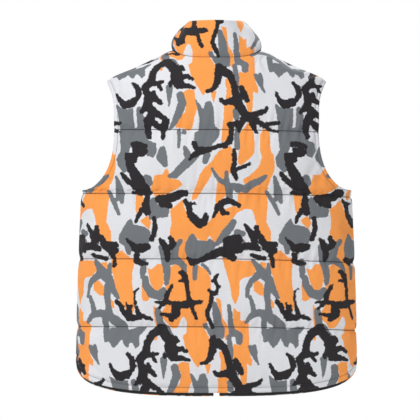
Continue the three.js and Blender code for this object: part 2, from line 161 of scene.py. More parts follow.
def facesOutward(points, faces):
    # A closed mesh whose volume comes out negative is inside out.
    points = np.asarray(points)
    volume = 0.0
    for size in (3, 4):
        group = np.array([f for f in faces if len(f) == size])
        if len(group):
            for k in range(1, size - 1):
                a, b, c = points[group[:, 0]], points[group[:, k]], points[group[:, k + 1]]
                volume += np.einsum("ij,ij->i", a, np.cross(b, c)).sum()
    for f in (f for f in faces if len(f) > 4):
        for k in range(1, len(f) - 1):
            volume += np.dot(points[f[0]], np.cross(points[f[k]], points[f[k + 1]]))
    return faces if volume > 0 else [tuple(reversed(f)) for f in faces]


# Camera, light and floor.

view = {"distance": 36000, "acrossFrame": 890.4, "centreX": -13.8, "centreZ": -324.4, "backFace": -52.5}
camera = bpy.data.objects.new("camera", bpy.data.cameras.new("camera"))
scene.collection.objects.link(camera)
camera.data.sensor_width = 36
camera.data.lens = 36 * view["distance"] / view["acrossFrame"]
camera.data.clip_end = 100
camera.location = [v / 1000 for v in (view["centreX"], view["backFace"] - view["distance"], view["centreZ"])]
camera.rotation_euler = (math.pi / 2, 0, 0)
scene.camera = camera
scene.view_settings.view_transform = "Standard"

studio = {
    "sky": "#ffffff", "skyLight": 0.4, "floorSize": 2600, "floorHeight": -862, "floor": "#f2f2f0",
    # place, aim, size, watts
    "lamps": [
        ((-1500, -1900, 1250), (0, 0, -350), 900, 44),
        ((1900, -1900, 0), (0, 0, -350), 1300, 9),
        ((1100, 2100, 1150), (0, 0, -350), 1000, 46),
        ((-1500, 2100, 0), (0, 0, -350), 1300, 9),
        ((0, 0, 2300), (0, 0, -350), 1300, 12),
    ],
}
world = bpy.data.worlds.new("studio")
world.use_nodes = True
world.node_tree.nodes.clear()
skyTree = world.node_tree
lightPath = addNode(skyTree, "ShaderNodeLightPath")
skyShare = addNode(skyTree, "ShaderNodeMapRange", inputs={
    "Value": lightPath.outputs["Is Camera Ray"], "To Min": studio["skyLight"], "To Max": 1.0})
background = addNode(skyTree, "ShaderNodeBackground", inputs={
    "Color": toLinear(studio["sky"]), "Strength": skyShare.outputs["Result"]})
addNode(skyTree, "ShaderNodeOutputWorld", inputs={"Surface": background.outputs["Background"]})
scene.world = world

for index, (place, aim, size, watts) in enumerate(studio["lamps"]):
    lamp = bpy.data.objects.new(f"lamp{index}", bpy.data.lights.new(f"lamp{index}", "AREA"))
    lamp.data.size = size / 1000
    lamp.data.energy = watts
    lamp.location = Vector(place) / 1000
    lamp.rotation_euler = (Vector(aim) - Vector(place)).to_track_quat("-Z", "Y").to_euler()
    scene.collection.objects.link(lamp)

floorPaint, _, _ = newMaterial("matt painted floor", {
    "Base Color": toLinear(studio["floor"]), "Roughness": 0.9})
half = studio["floorSize"] / 2
floorCorners = [(x * half, y * half, studio["floorHeight"]) for x, y in ((-1, -1), (1, -1), (1, 1), (-1, 1))]
floor = addMesh("studio_floor", floorCorners, [(0, 1, 2, 3)], [floorPaint])
print("camera, lamps and floor made")


# The printed camouflage, drawn once in a tile that repeats.

# Patches are outlines and strokes are chains of (across, height, radius), counted from the middle of the back
# at the collar seam. The print repeats every repeat[0] across, and every -repeat[1] down with a small shift.
camo = {"cell": 2, "repeat": (336, 576), "shift": 12, "reach": 14}
orangePatches = [
    [(-51, 18), (-20, 18), (-14, 0), (-4, -18), (-2, -50), (-6, -68), (-20, -72), (-27, -83), (-33, -75),
     (-45, -55), (-54, -38), (-59, -15), (-51, -10)],
    [(-100, -446), (-85, -441), (-66, -448), (-52, -440), (-38, -442), (-22, -452), (-13, -468), (-12, -490),
     (-16, -520), (-20, -560), (-27, -576), (-30, -594), (-62, -594), (-62, -565), (-66, -552), (-72, -550),
     (-78, -562), (-84, -574), (-95, -576), (-100, -568), (-112, -556), (-118, -545), (-108, -530),
     (-104, -500), (-108, -480)],
    [(-146, -448), (-136, -452), (-126, -440), (-114, -440), (-110, -470), (-116, -490), (-128, -498),
     (-138, -482)],
    [(-157, -478), (-148, -470), (-143, -490), (-136, -508), (-148, -518), (-156, -515)],
    [(-82, -400), (-76, -385), (-62, -385), (-66, -405), (-62, -428), (-52, -440), (-66, -450), (-90, -440),
     (-86, -425)],
    [(-78, -82), (-60, -70), (-47, -72), (-44, -95), (-40, -108), (-46, -125), (-52, -150), (-60, -156),
     (-70, -150), (-87, -148), (-85, -128), (-66, -120), (-62, -92)],
    [(16, -103), (41, -103), (38, -125), (28, -150), (27, -175), (11, -180), (13, -150), (16, -125)],
    [(-12, -75), (0, -75), (-6, -99)],
    [(17, -50), (25, -47), (31, -62), (33, -82), (25, -95), (20, -93), (22, -70)],
    [(25, 22), (36, 5), (38, -15), (33, -22), (28, -5)],
    [(-121, -18), (-113, -18), (-117, -28)],
    [(28, -188), (35, -200), (33, -240), (25, -250), (18, -268), (10, -255), (0, -245), (-8, -240),
     (-12, -252), (-20, -265), (-30, -280), (-42, -300), (-52, -304), (-52, -295), (-42, -270), (-35, -250),
     (-25, -235), (-10, -222), (5, -200)],
    [(2, -258), (15, -265), (22, -290), (8, -305), (-2, -312)],
    [(-290, -290), (-262, -275), (-250, -262), (-235, -245), (-225, -225), (-218, -203), (-214, -225),
     (-215, -240), (-222, -258), (-228, -275), (-228, -300), (-230, -330), (-232, -350), (-222, -370),
     (-222, -390), (-232, -395), (-240, -380), (-250, -370), (-252, -355), (-256, -335), (-262, -322),
     (-275, -322), (-292, -330)],
    [(-105, -235), (-100, -247), (-95, -258), (-80, -260), (-72, -270), (-85, -280), (-98, -286),
     (-110, -295), (-130, -295), (-140, -280), (-134, -262), (-130, -250), (-115, -250)],
    [(-171, -292), (-157, -290), (-154, -310), (-162, -322), (-166, -335), (-170, -325)],
    [(-160, -347), (-145, -337), (-138, -350), (-142, -366), (-150, -358)],
    [(-98, -325), (-85, -315), (-72, -303), (-68, -320), (-62, -335), (-50, -345), (-30, -362), (-16, -350),
     (0, -328), (20, -323), (36, -316), (48, -322), (40, -335), (30, -347), (20, -365), (10, -378), (0, -396),
     (-10, -385), (-16, -376), (-22, -392), (-40, -385), (-52, -375), (-60, -388), (-62, -400), (-80, -400),
     (-88, -388), (-98, -376), (-94, -350)],
    [(-295, -432), (-255, -432), (-250, -450), (-262, -465), (-280, -468), (-290, -478), (-298, -492)],
    [(-258, -478), (-248, -474), (-238, -485), (-233, -506), (-245, -505), (-257, -495)],
    [(-222, -415), (-200, -411), (-185, -425), (-172, -430), (-178, -455), (-178, -480), (-175, -500),
     (-172, -530), (-178, -545), (-190, -535), (-203, -517), (-212, -490), (-216, -465), (-224, -445)],
    [(-245, -436), (-232, -436), (-230, -452), (-240, -450)],
    [(-300, -530), (-292, -540), (-282, -565), (-270, -578), (-300, -590)],
    [(-225, -510), (-216, -520), (-215, -533), (-222, -530)],
    [(48, -32), (58, -36), (66, -25), (66, 5), (60, 14), (76, 18), (80, 10), (80, -20), (82, -55), (87, -68),
     (86, -80), (76, -72), (76, -95), (75, -118), (68, -120), (62, -100), (62, -85), (55, -70), (47, -70),
     (45, -50)],
    [(68, -138), (75, -150), (79, -165), (80, -199), (76, -208), (67, -217), (52, -229), (45, -225),
     (48, -197), (50, -160), (60, -150)],
    [(93, -165), (100, -152), (110, -155), (113, -170), (114, -197), (118, -217), (118, -247), (112, -257),
     (101, -264), (86, -270), (74, -275), (60, -268), (56, -260), (70, -252), (82, -241), (91, -229),
     (96, -212), (92, -197)],
    [(12, -425), (30, -430), (48, -432), (48, -500), (40, -525), (33, -510), (28, -480), (22, -460)],
    [(-2, -510), (8, -515), (12, -550), (18, -580), (27, -605), (20, -600), (8, -575), (6, -540)],
    [(38, -543), (50, -540), (50, -582), (40, -580)],
    [(-133, -525), (-120, -545), (-112, -575), (-125, -582), (-131, -560)],
]
greyPatches = [
    [(-18, 12), (-8, 12), (-4, 0), (8, 15), (22, 15), (30, 0), (28, -22), (10, -20), (-2, -18), (-10, -2),
     (-16, 2)],
    [(-228, -575), (-200, -572), (-185, -578), (-165, -572), (-147, -572), (-152, -580), (-163, -590),
     (-162, -612), (-170, -619), (-176, -608), (-182, -605), (-186, -618), (-194, -612), (-200, -598),
     (-208, -610), (-217, -619), (-226, -605), (-230, -590)],
    [(-215, -97), (-204, -106), (-192, -112), (-175, -108), (-174, -150), (-205, -153), (-208, -130)],
    [(-206, -152), (-150, -148), (-146, -175), (-128, -183), (-125, -200), (-133, -214), (-146, -210),
     (-150, -195), (-180, -190), (-188, -210), (-185, -240), (-195, -246), (-210, -230), (-213, -215),
     (-203, -198)],
    [(-46, -88), (-36, -100), (-28, -113), (-24, -98), (-12, -93), (-6, -110), (-4, -145), (8, -155),
     (5, -170), (-8, -185), (-14, -197), (-38, -200), (-48, -175), (-47, -160), (-38, -155), (-36, -130),
     (-42, -105)],
    [(-135, -296), (-126, -300), (-124, -314), (-105, -312), (-99, -325), (-102, -340), (-128, -342),
     (-141, -346), (-143, -330), (-147, -310)],
    [(-187, -348), (-180, -342), (-174, -355), (-150, -360), (-140, -368), (-137, -380), (-142, -395),
     (-155, -402), (-178, -396), (-182, -420), (-190, -418), (-195, -400), (-206, -392), (-205, -378),
     (-196, -362)],
    [(-66, -395), (-55, -376), (-48, -374), (-40, -388), (-20, -390), (-14, -384), (0, -396), (-5, -410),
     (-15, -415), (-30, -428), (-50, -433), (-63, -425), (-67, -410)],
]
greyStrokes = [
    [(-103, 8, 6), (-92, -2, 7), (-82, -20, 4)],
    [(38, -18, 5), (42, -45, 6), (42, -70, 4), (43, -86, 2)],
    [(50, -8, 7), (60, -15, 8), (60, -28, 7)],
    [(26, -527, 4), (29, -545, 5), (30, -565, 6), (34, -585, 8)],
    [(82, -38, 4), (90, -50, 8), (95, -65, 4), (101, -76, 2)],
    [(92, -36, 3.5), (92, -50, 7)],
    [(40, -114, 6), (42, -128, 7)],
    [(45, -150, 5), (43, -170, 6), (44, -192, 6)],
    [(112, -3, 3), (117, -15, 5), (119, -25, 3)],
    [(-163, -112, 6), (-160, -130, 8), (-160, -145, 8)],
    [(-99, -66, 8), (-99, -85, 5), (-100, -106, 1.5)],
    [(-76, -82, 8), (-72, -100, 9), (-80, -120, 8), (-90, -140, 6), (-100, -152, 3)],
    [(-80, -155, 4), (-79, -175, 4), (-80, -192, 3)],
    [(-70, -158, 5), (-68, -160, 5)],
    [(-114, -196, 7), (-115, -212, 12), (-108, -228, 6)],
    [(-45, -210, 8), (-60, -222, 10), (-75, -236, 9), (-88, -250, 8), (-98, -252, 5)],
    [(-67, -192, 4), (-62, -205, 8)],
    [(-20, -208, 8), (-24, -222, 6)],
    [(-10, -236, 3), (-2, -250, 4), (8, -262, 5), (18, -268, 5)],
    [(21, -244, 4), (22, -265, 6), (27, -285, 8), (28, -306, 6)],
    [(35, -272, 6), (47, -278, 10)],
    [(-147, -260, 11), (-145, -266, 10)],
    [(-232, -252, 4), (-245, -262, 7), (-262, -270, 8), (-275, -280, 9), (-287, -277, 4)],
    [(-214, -254, 3.5), (-208, -275, 7), (-205, -290, 10), (-199, -309, 3.5)],
    [(-230, -285, 4), (-222, -299, 4.5), (-213, -315, 5), (-205, -333, 4)],
    [(-216, -305, 4), (-205, -297, 6)],
    [(36, -350, 7), (28, -362, 8), (18, -375, 9), (8, -388, 7), (1, -396, 5)],
    [(-76, -390, 5), (-86, -402, 7), (-90, -420, 9), (-95, -432, 9)],
    [(-112, -390, 4), (-118, -403, 5), (-115, -420, 5), (-112, -432, 6), (-106, -445, 8), (-104, -462, 7),
     (-105, -480, 5)],
    [(-95, -430, 8), (-82, -432, 8), (-70, -443, 7), (-66, -456, 4)],
    [(-45, -445, 6), (-46, -470, 4.5)],
    [(-30, -440, 3.5), (-20, -448, 4), (-13, -460, 2.5)],
    [(-258, -432, 4), (-248, -445, 7), (-238, -460, 11), (-226, -472, 10), (-220, -488, 8), (-207, -511, 4)],
    [(-226, -440, 4), (-226, -458, 6)],
    [(-245, -460, 9), (-262, -475, 6), (-270, -490, 5), (-272, -507, 4)],
    [(-228, -485, 8), (-230, -505, 7), (-227, -528, 6), (-226, -545, 9)],
    [(-266, -508, 4), (-260, -525, 5), (-257, -542, 6)],
    [(-273, -562, 4), (-262, -548, 6), (-245, -542, 8), (-228, -548, 10), (-212, -560, 11), (-198, -572, 10)],
    [(-236, -558, 6), (-234, -585, 6), (-233, -602, 4)],
    [(-155, -433, 6), (-155, -455, 7), (-158, -467, 3)],
    [(-150, -470, 7), (-148, -484, 8), (-136, -502, 9), (-120, -506, 10), (-111, -494, 6)],
    [(-5, -522, 5), (0, -545, 9), (3, -565, 9), (0, -580, 8)],
    [(-124, -538, 7), (-120, -560, 8), (-117, -576, 8)],
    [(-108, -580, 9), (-98, -590, 7), (-88, -606, 4)],
    [(-283, -392, 7), (-275, -405, 6)],
    [(-262, -405, 5), (-250, -393, 4)],
    [(-292, -372, 8), (-280, -375, 6)],
]
blackStrokes = [
    [(-176, -53, 3), (-167, -62, 5), (-163, -78, 6), (-166, -88, 5)],
    [(-212, -75, 2.5), (-204, -92, 5), (-193, -102, 9), (-178, -98, 9), (-168, -90, 5)],
    [(-106, 0, 10), (-124, -12, 8), (-134, -30, 7), (-136, -50, 8), (-150, -66, 8)],
    [(-140, -58, 6), (-125, -55, 5), (-112, -53, 3)],
    [(-123, -58, 4), (-116, -70, 3)],
    [(-150, -68, 6), (-143, -85, 9), (-143, -102, 9)],
    [(-132, -75, 4), (-130, -88, 7), (-117, -98, 4)],
    [(-145, -100, 8), (-152, -112, 6), (-160, -118, 3)],
    [(-142, -108, 9), (-130, -118, 8), (-116, -127, 5)],
    [(-138, -125, 9), (-146, -138, 8), (-146, -155, 6), (-143, -170, 5)],
    [(-132, -140, 6), (-122, -149, 7), (-111, -149, 8), (-107, -136, 7), (-111, -127, 4)],
    [(-113, -158, 4), (-113, -172, 4)],
    [(-104, 0, 10), (-95, -15, 10), (-85, -28, 12), (-84, -42, 13), (-80, -58, 11)],
    [(-76, -22, 7), (-70, -26, 4)],
    [(-76, -45, 6), (-62, -42, 5), (-50, -49, 3)],
    [(-74, -62, 7), (-60, -63, 5), (-46, -67, 2.5)],
    [(-97, -55, 4), (-97, -62, 3)],
    [(5, -22, 8), (4, -45, 8), (-1, -62, 6), (-10, -72, 4), (-20, -74, 3)],
    [(14, -30, 10), (28, -40, 8), (36, -60, 6), (40, -80, 7), (44, -95, 10)],
    [(8, -92, 4), (16, -98, 5), (30, -95, 7), (45, -95, 9)],
    [(52, -67, 5), (57, -80, 8), (64, -93, 5)],
    [(44, -98, 10), (53, -112, 9), (62, -126, 9), (72, -126, 8), (88, -120, 6), (102, -116, 4),
     (107, -108, 3)],
    [(60, -130, 8), (50, -142, 6), (48, -155, 4)],
    [(72, -132, 7), (80, -150, 5), (86, -160, 3)],
    [(85, -136, 5), (100, -145, 5), (118, -141, 4), (132, -140, 3)],
    [(100, -147, 3), (112, -154, 3), (131, -158, 2.5)],
    [(27, -143, 5), (42, -141, 5), (52, -138, 6)],
    [(33, -148, 4), (31, -165, 5), (28, -178, 7), (16, -189, 5)],
    [(-48, -183, 5), (-42, -195, 5), (-20, -197, 5), (0, -191, 4), (12, -187, 4), (20, -190, 4)],
    [(-57, -216, 3), (-45, -206, 6), (-30, -201, 6), (-15, -196, 6)],
    [(-175, -185, 6), (-160, -187, 6), (-148, -190, 4)],
    [(-172, -198, 5), (-150, -201, 5)],
    [(-190, -207, 4), (-180, -212, 8), (-165, -207, 5), (-154, -207, 4)],
    [(-173, -219, 4), (-171, -219, 4)],
    [(-186, -212, 8), (-180, -235, 9), (-170, -252, 11), (-162, -270, 13), (-152, -282, 12), (-139, -288, 4)],
    [(-200, -247, 4), (-192, -258, 6), (-180, -268, 6), (-168, -275, 8)],
    [(-178, -287, 3), (-160, -290, 4)],
    [(-146, -294, 5), (-150, -315, 8), (-146, -330, 7)],
    [(-157, -325, 5), (-166, -340, 4), (-170, -352, 2)],
    [(-131, -342, 4), (-129, -358, 5), (-131, -372, 5), (-136, -386, 5)],
    [(-122, -301, 8), (-105, -300, 9), (-90, -297, 9), (-78, -290, 9), (-67, -289, 7)],
    [(-115, -310, 8), (-98, -316, 5)],
    [(-66, -305, 4), (-58, -320, 6), (-55, -335, 7), (-43, -347, 9), (-36, -356, 7), (-25, -350, 7),
     (-20, -338, 3)],
    [(-45, -311, 2.5), (-58, -312, 4)],
    [(-22, -333, 3), (-26, -345, 5)],
    [(-8, -341, 2), (-2, -330, 4), (3, -318, 7), (12, -310, 7), (22, -304, 6), (38, -310, 5), (48, -316, 4)],
    [(10, -322, 5), (14, -331, 5), (23, -331, 3.5)],
    [(37, -198, 4), (38, -225, 5), (34, -240, 5), (42, -258, 4)],
    [(42, -238, 4), (60, -231, 3.5), (72, -225, 2)],
    [(-276, -355, 2.5), (-270, -365, 5), (-262, -375, 7), (-255, -388, 8)],
    [(-252, -362, 5), (-250, -378, 6)],
    [(-242, -382, 6), (-238, -394, 7), (-228, -402, 11), (-214, -410, 7)],
    [(-290, -385, 8), (-292, -400, 7), (-283, -410, 5)],
    [(-280, -402, 6), (-262, -400, 8), (-248, -406, 6)],
    [(-222, -418, 5), (-217, -430, 4), (-216, -443, 4)],
    [(-262, -420, 4), (-245, -425, 5), (-234, -428, 4)],
    [(-225, -397, 6), (-212, -398, 6)],
    [(-190, -385, 2.5), (-180, -395, 4), (-172, -405, 8), (-158, -405, 10), (-145, -402, 7)],
    [(-170, -420, 6), (-170, -433, 6), (-158, -438, 5), (-148, -438, 3)],
    [(-120, -386, 3), (-112, -396, 6), (-105, -410, 7), (-104, -430, 5)],
    [(-97, -384, 5), (-92, -396, 7), (-97, -402, 7)],
    [(-60, -428, 4), (-50, -436, 7), (-35, -432, 5), (-20, -425, 7), (-5, -418, 9), (10, -412, 9),
     (25, -418, 9), (36, -426, 7)],
    [(25, -392, 12), (42, -388, 12), (30, -404, 14), (44, -404, 12)],
    [(-72, -457, 5), (-66, -466, 6), (-63, -480, 4), (-60, -500, 4), (-57, -516, 5)],
    [(-78, -457, 2.5), (-70, -459, 4)],
    [(-78, -475, 2.5), (-68, -475, 4)],
    [(-93, -484, 2.5), (-99, -495, 4), (-105, -504, 5), (-107, -517, 5)],
    [(-129, -520, 2), (-112, -520, 4), (-95, -521, 4), (-75, -526, 7), (-58, -523, 9), (-45, -520, 5),
     (-33, -519, 4)],
    [(-122, -533, 2.5), (-112, -524, 4)],
    [(-52, -530, 4), (-48, -542, 3.5), (-43, -554, 3.5)],
    [(-86, -528, 9), (-86, -545, 9), (-96, -555, 6)],
    [(-118, -545, 2.5), (-105, -547, 4), (-92, -550, 7)],
    [(-210, -518, 4), (-202, -526, 5), (-196, -540, 5), (-184, -552, 8), (-170, -553, 6), (-160, -552, 4)],
    [(-189, -522, 2), (-185, -535, 4), (-182, -548, 5)],
    [(-180, -527, 2.5), (-182, -542, 4)],
    [(-164, -491, 1.5), (-172, -498, 2), (-173, -512, 2), (-170, -526, 2.5), (-165, -542, 5)],
    [(-160, -548, 4), (-150, -552, 4), (-137, -556, 2.5)],
    [(-10, -476, 2), (-4, -471, 4), (2, -463, 3)],
    [(-3, -474, 4), (2, -483, 3), (8, -487, 2)],
    [(-16, -494, 2.5), (-8, -502, 5), (0, -499, 4), (2, -488, 3)],
    [(-10, -505, 4), (-12, -520, 4), (-18, -535, 4), (-20, -546, 4), (-15, -558, 4), (-8, -574, 3)],
]


def distanceToPatch(x, z, outline):
    # Below nothing inside the patch, above nothing outside it.
    nearest = np.full(x.shape, 1e9)
    inside = np.zeros(x.shape, bool)
    for (ax, az), (bx, bz) in zip(outline, outline[1:] + outline[:1]):
        dx, dz = bx - ax, bz - az
        t = np.clip(((x - ax) * dx + (z - az) * dz) / (dx * dx + dz * dz), 0, 1)
        nearest = np.minimum(nearest, np.hypot(x - ax - t * dx, z - az - t * dz))
        crosses = (az > z) != (bz > z)
        if dz:
            inside ^= crosses & (x < ax + (z - az) * dx / dz)
    return np.where(inside, -nearest, nearest)


def distanceToStroke(x, z, chain):
    nearest = np.full(x.shape, 1e9)
    for (ax, az, ar), (bx, bz, br) in zip(chain, chain[1:]):
        dx, dz = bx - ax, bz - az
        t = np.clip(((x - ax) * dx + (z - az) * dz) / (dx * dx + dz * dz), 0, 1)
        nearest = np.minimum(nearest, np.hypot(x - ax - t * dx, z - az - t * dz) - mix(ar, br, t))
    return nearest


def drawTile(patches, strokes):
    cell, (wide, high), shift, reach = camo["cell"], camo["repeat"], camo["shift"], camo["reach"]
    columns, lines = wide // cell, high // cell
    tile = np.full((lines, columns), float(reach))
    for shape, distance in [(p, distanceToPatch) for p in patches] + [(s, distanceToStroke) for s in strokes]:
        places = np.array([corner[:2] for corner in shape], float)
        first = np.floor((places.min(0) - 2 * reach) / cell).astype(int)
        last = np.ceil((places.max(0) + 2 * reach) / cell).astype(int)
        xs, zs = np.meshgrid(np.arange(first[0], last[0]), np.arange(first[1], last[1]))
        value = distance(xs * cell * 1.0, zs * cell * 1.0, shape)
        turn = np.floor(-zs / lines).astype(int)
        row = -(zs + turn * lines)
        row, extra = row % lines, row // lines
        column = (xs + (turn + extra) * (shift // cell)) % columns
        np.minimum.at(tile, (row, column), np.minimum(value, reach))
    return tile


def sampleTile(tile, u, v):
    cell, shift = camo["cell"], camo["shift"]
    lines, columns = tile.shape
    across, down = np.asarray(u) / cell, -np.asarray(v) / cell
    turn = np.floor(down / lines)
    down, across = down - turn * lines, across + turn * (shift / cell)
    tall = np.vstack([tile, np.roll(tile[0], -(shift // cell))[None]])
    j = np.clip(np.floor(down).astype(int), 0, lines - 1)
    i = np.floor(across).astype(int)
    s, t = across - i, down - j
    a, b = i % columns, (i + 1) % columns
    return mix(mix(tall[j, a], tall[j, b], s), mix(tall[j + 1, a], tall[j + 1, b], s), t)


camoTiles = {
    "orangeEdge": drawTile(orangePatches, []),
    "greyEdge": drawTile(greyPatches, greyStrokes),
    "blackEdge": drawTile([], blackStrokes),
}


def printAt(u, v):
    return {key: sampleTile(tile, u, v) for key, tile in camoTiles.items()}


print("camouflage tile drawn")


# The garment's form.

garment = {
    "backLength": 711, "frontDrop": 9, "sideHem": 641, "hemWidth": 600, "chestWidth": 576, "underarm": 282,
    "shoulderWidth": 468, "shoulderTip": 51, "acrossBack": 436, "acrossFront": 412, "armholeBend": 170,
    "armholeFlare": 110, "depth": 190, "gap": 0.3, "forward": 42.5,
}
neck = {"width": 190, "rise": 16, "backDepth": 60, "sideDepth": 62, "frontDrop": 70, "slimFrom": 190}
collar = {"backHeight": 78, "frontTop": 5, "topWidth": 116, "topBackDepth": 52, "fullness": 8}
zipEdge = 6.5


def monotoneCurve(pairs):
    places, values = np.array(pairs, float).T
    steps = np.diff(values) / np.diff(places)
    before, after = steps[:-1], steps[1:]
    turning = before * after <= 0
    inner = np.where(turning, 0, 2 * before * after / np.where(turning, 1, before + after))
    slopes = np.concatenate([steps[:1], inner, steps[-1:]])

    def curve(place):
        place = np.asarray(place, float)
        i = np.clip(np.searchsorted(places, place, side="right"), 1, len(places) - 1)
        span = places[i] - places[i - 1]
        t = (place - places[i - 1]) / span
        a, b, sa, sb = values[i - 1], values[i], slopes[i - 1] * span, slopes[i] * span
        bent = (2 * t**3 - 3 * t**2 + 1) * a + (t**3 - 2 * t**2 + t) * sa + (3 * t**2 - 2 * t**3) * b
        bent = bent + (t**3 - t**2) * sb
        return np.where(t > 1, b + sb * (t - 1), np.where(t < 0, a + sa * t, bent))

    return curve


shoulderRun = (garment["shoulderWidth"] - neck["width"]) / 2 / (garment["shoulderTip"] + neck["rise"])
halfWidth = monotoneCurve([
    (-garment["backLength"] - 40, garment["hemWidth"] / 2),
    (-garment["sideHem"], garment["hemWidth"] / 2 - 0.5),
    (-garment["underarm"], garment["chestWidth"] / 2),
    (mix(-garment["underarm"], -garment["shoulderTip"], 0.57),
     mix(garment["chestWidth"], garment["shoulderWidth"], 0.33) / 2),
    (-garment["shoulderTip"], garment["shoulderWidth"] / 2),
    (mix(-garment["shoulderTip"], neck["rise"], 0.5), (garment["shoulderWidth"] + neck["width"]) / 4),
    (neck["rise"], neck["width"] / 2),
    (neck["rise"] + 20, neck["width"] / 2 - 20 * shoulderRun),
])


def halfDepth(z, side):
    if side > 0:
        slim = ease((z + neck["frontDrop"] + 8) / (neck["frontDrop"] + neck["rise"]))
        return mix(garment["depth"] / 2, neck["sideDepth"], slim)
    return mix(garment["depth"] / 2, neck["backDepth"], ease((z + neck["slimFrom"]) / neck["slimFrom"]))


def onBody(x, z, side):
    # Points of the outer face and their outward normals.
    e, d, step = halfWidth(z), halfDepth(z, side), 0.5
    share = np.clip(x / e, -1, 1)
    y = side * d * np.sqrt(1 - share * share)
    eSlope = (halfWidth(z + step) - halfWidth(z - step)) / (2 * step)
    dSlope = (halfDepth(z + step, side) - halfDepth(z - step, side)) / (2 * step)
    normal = np.stack([x / e**2, y / d**2, -x * x * eSlope / e**3 - y * y * dSlope / d**3], -1)
    normal /= np.linalg.norm(normal, axis=-1, keepdims=True)
    return np.stack([x, y + side * garment["gap"] / 2 + garment["forward"], z + 0 * x], -1), normal


def clothAt(x, z, side):
    # Where the print lies: across and down, let out where the body turns away towards the side and shoulder.
    e, d = halfWidth(z), halfDepth(z, side)
    share = np.clip(np.abs(x) / e, 0, 1)
    flatTo, samples = 0.9, (np.arange(16) + 0.5) / 16
    start, end = np.arcsin(flatTo), np.arcsin(share)
    turn = mix(start, np.maximum(end, start)[..., None], samples)
    reach = np.sqrt((e[..., None] * np.cos(turn))**2 + (d[..., None] * np.sin(turn))**2).mean(-1)
    u = np.sign(x) * np.where(share < flatTo, np.abs(x), flatTo * e + reach * (end - start))
    base = np.sqrt(1 - np.clip(x / halfWidth(-garment["armholeFlare"]), -1, 1)**2)
    lift = d * np.maximum(base - np.sqrt(1 - share * share), 0) * 0.9
    return u, z + np.where(z > -garment["armholeFlare"], lift, 0)


def hemPath(side, low, high, count=120):
    # Between two angles from the middle of the hem to where it meets the side.
    angle = np.linspace(low, high, count)
    length = garment["backLength"] + (garment["frontDrop"] if side > 0 else 0)
    z = -garment["sideHem"] - (length - garment["sideHem"]) * np.cos(angle)**(2 / 3)
    return np.stack([halfWidth(z) * np.sin(angle)**(2 / 3), z], -1)


def sidePath(side):
    inner = (garment["acrossFront"] if side > 0 else garment["acrossBack"]) / 2
    outer, tip = halfWidth(-garment["underarm"]), garment["shoulderWidth"] / 2
    z = np.linspace(-garment["sideHem"], -garment["underarm"], 100)
    a = np.linspace(math.pi / 2, 0, 80)
    t = np.linspace(0, 1, 50)
    curve = [outer - (outer - inner) * np.cos(a),
             -garment["armholeBend"] - (garment["underarm"] - garment["armholeBend"]) * np.sin(a)]
    flare = [inner + (tip - inner) * t * t, mix(-garment["armholeFlare"], -garment["shoulderTip"], t)]
    return np.vstack([np.stack([halfWidth(z), z], -1), np.stack(curve, -1)[1:], np.stack(flare, -1)])


def shoulderPath():
    z = np.linspace(neck["rise"], -garment["shoulderTip"], 100)
    return np.stack([halfWidth(z), z], -1)


def frontNeck(angle):
    return np.stack([neck["width"] / 2 * np.sin(angle),
                     neck["rise"] - (neck["rise"] + neck["frontDrop"]) * np.cos(angle)], -1)


def backNeck(x):
    return np.stack([x, neck["rise"] * np.abs(x / (neck["width"] / 2))**4], -1)


def alongPath(path, shares):
    reach = np.concatenate([[0], np.cumsum(np.linalg.norm(np.diff(path, axis=0), axis=1))])
    return np.stack([np.interp(shares * reach[-1], reach, path[:, k]) for k in (0, 1)], -1)


def partOf(path, low, high):
    # The stretch of a rising path between two heights.
    inside = path[(path[:, 1] > low + 0.01) & (path[:, 1] < high - 0.01)]
    ends = [[np.interp(h, path[:, 1], path[:, 0]), h] for h in (low, high)]
    return np.vstack([ends[:1], inside, ends[1:]])


# Quilting: where the seams run, and how the padding stands between them.

quilt = {
    "seams": (-572, -428, -289, -153), "drop": 8, "dropSpan": 290, "cell": 3.0, "backCloth": 640,
    "frontCloth": 318, "thick": 12.6, "edgeThick": 4.6,
    "seamDepth": 4.4, "seamReach": 8.5, "pinch": 8.6, "sewnDepth": 2.2, "sewnReach": 4.5, "joinShade": 2.4,
    "rowPuff": 1.5, "rowReach": 45, "rimReach": 40, "zipHeld": 0.2, "zipReach": 18,
    "hemStitch": 10, "armholeStitch": 8, "zipStitch": 7, "hemRoll": 1.6, "armholeRoll": 1.4, "zipRoll": 0.6,
    "pucker": 1.15, "puckerWave": 15, "puckerReach": 15, "liningRipple": 0.35, "liningWave": 22,
}
topstitch = {
    "depth": 2.0, "reach": 2.4, "edgeDrop": 1.2, "edgeReach": 3.0, "pucker": 0.5, "puckerWave": 11,
    "puckerReach": 6,
}
farFromSeam = 20.0


def seamHeight(level, x, side):
    if side < 0:
        return level - quilt["drop"] * np.clip(x / quilt["dropSpan"], 0, 1)**1.5
    return level - quilt["drop"] * (x + quilt["dropSpan"]) / (2 * quilt["dropSpan"])


def seamEnd(level, edge, side, sign):
    # The height at which a slightly slanted seam meets an edge, closing in on it in a few steps.
    height = level
    for _ in range(4):
        height = float(seamHeight(level, sign * np.interp(height, edge[:, 1], edge[:, 0]), side))
    return height


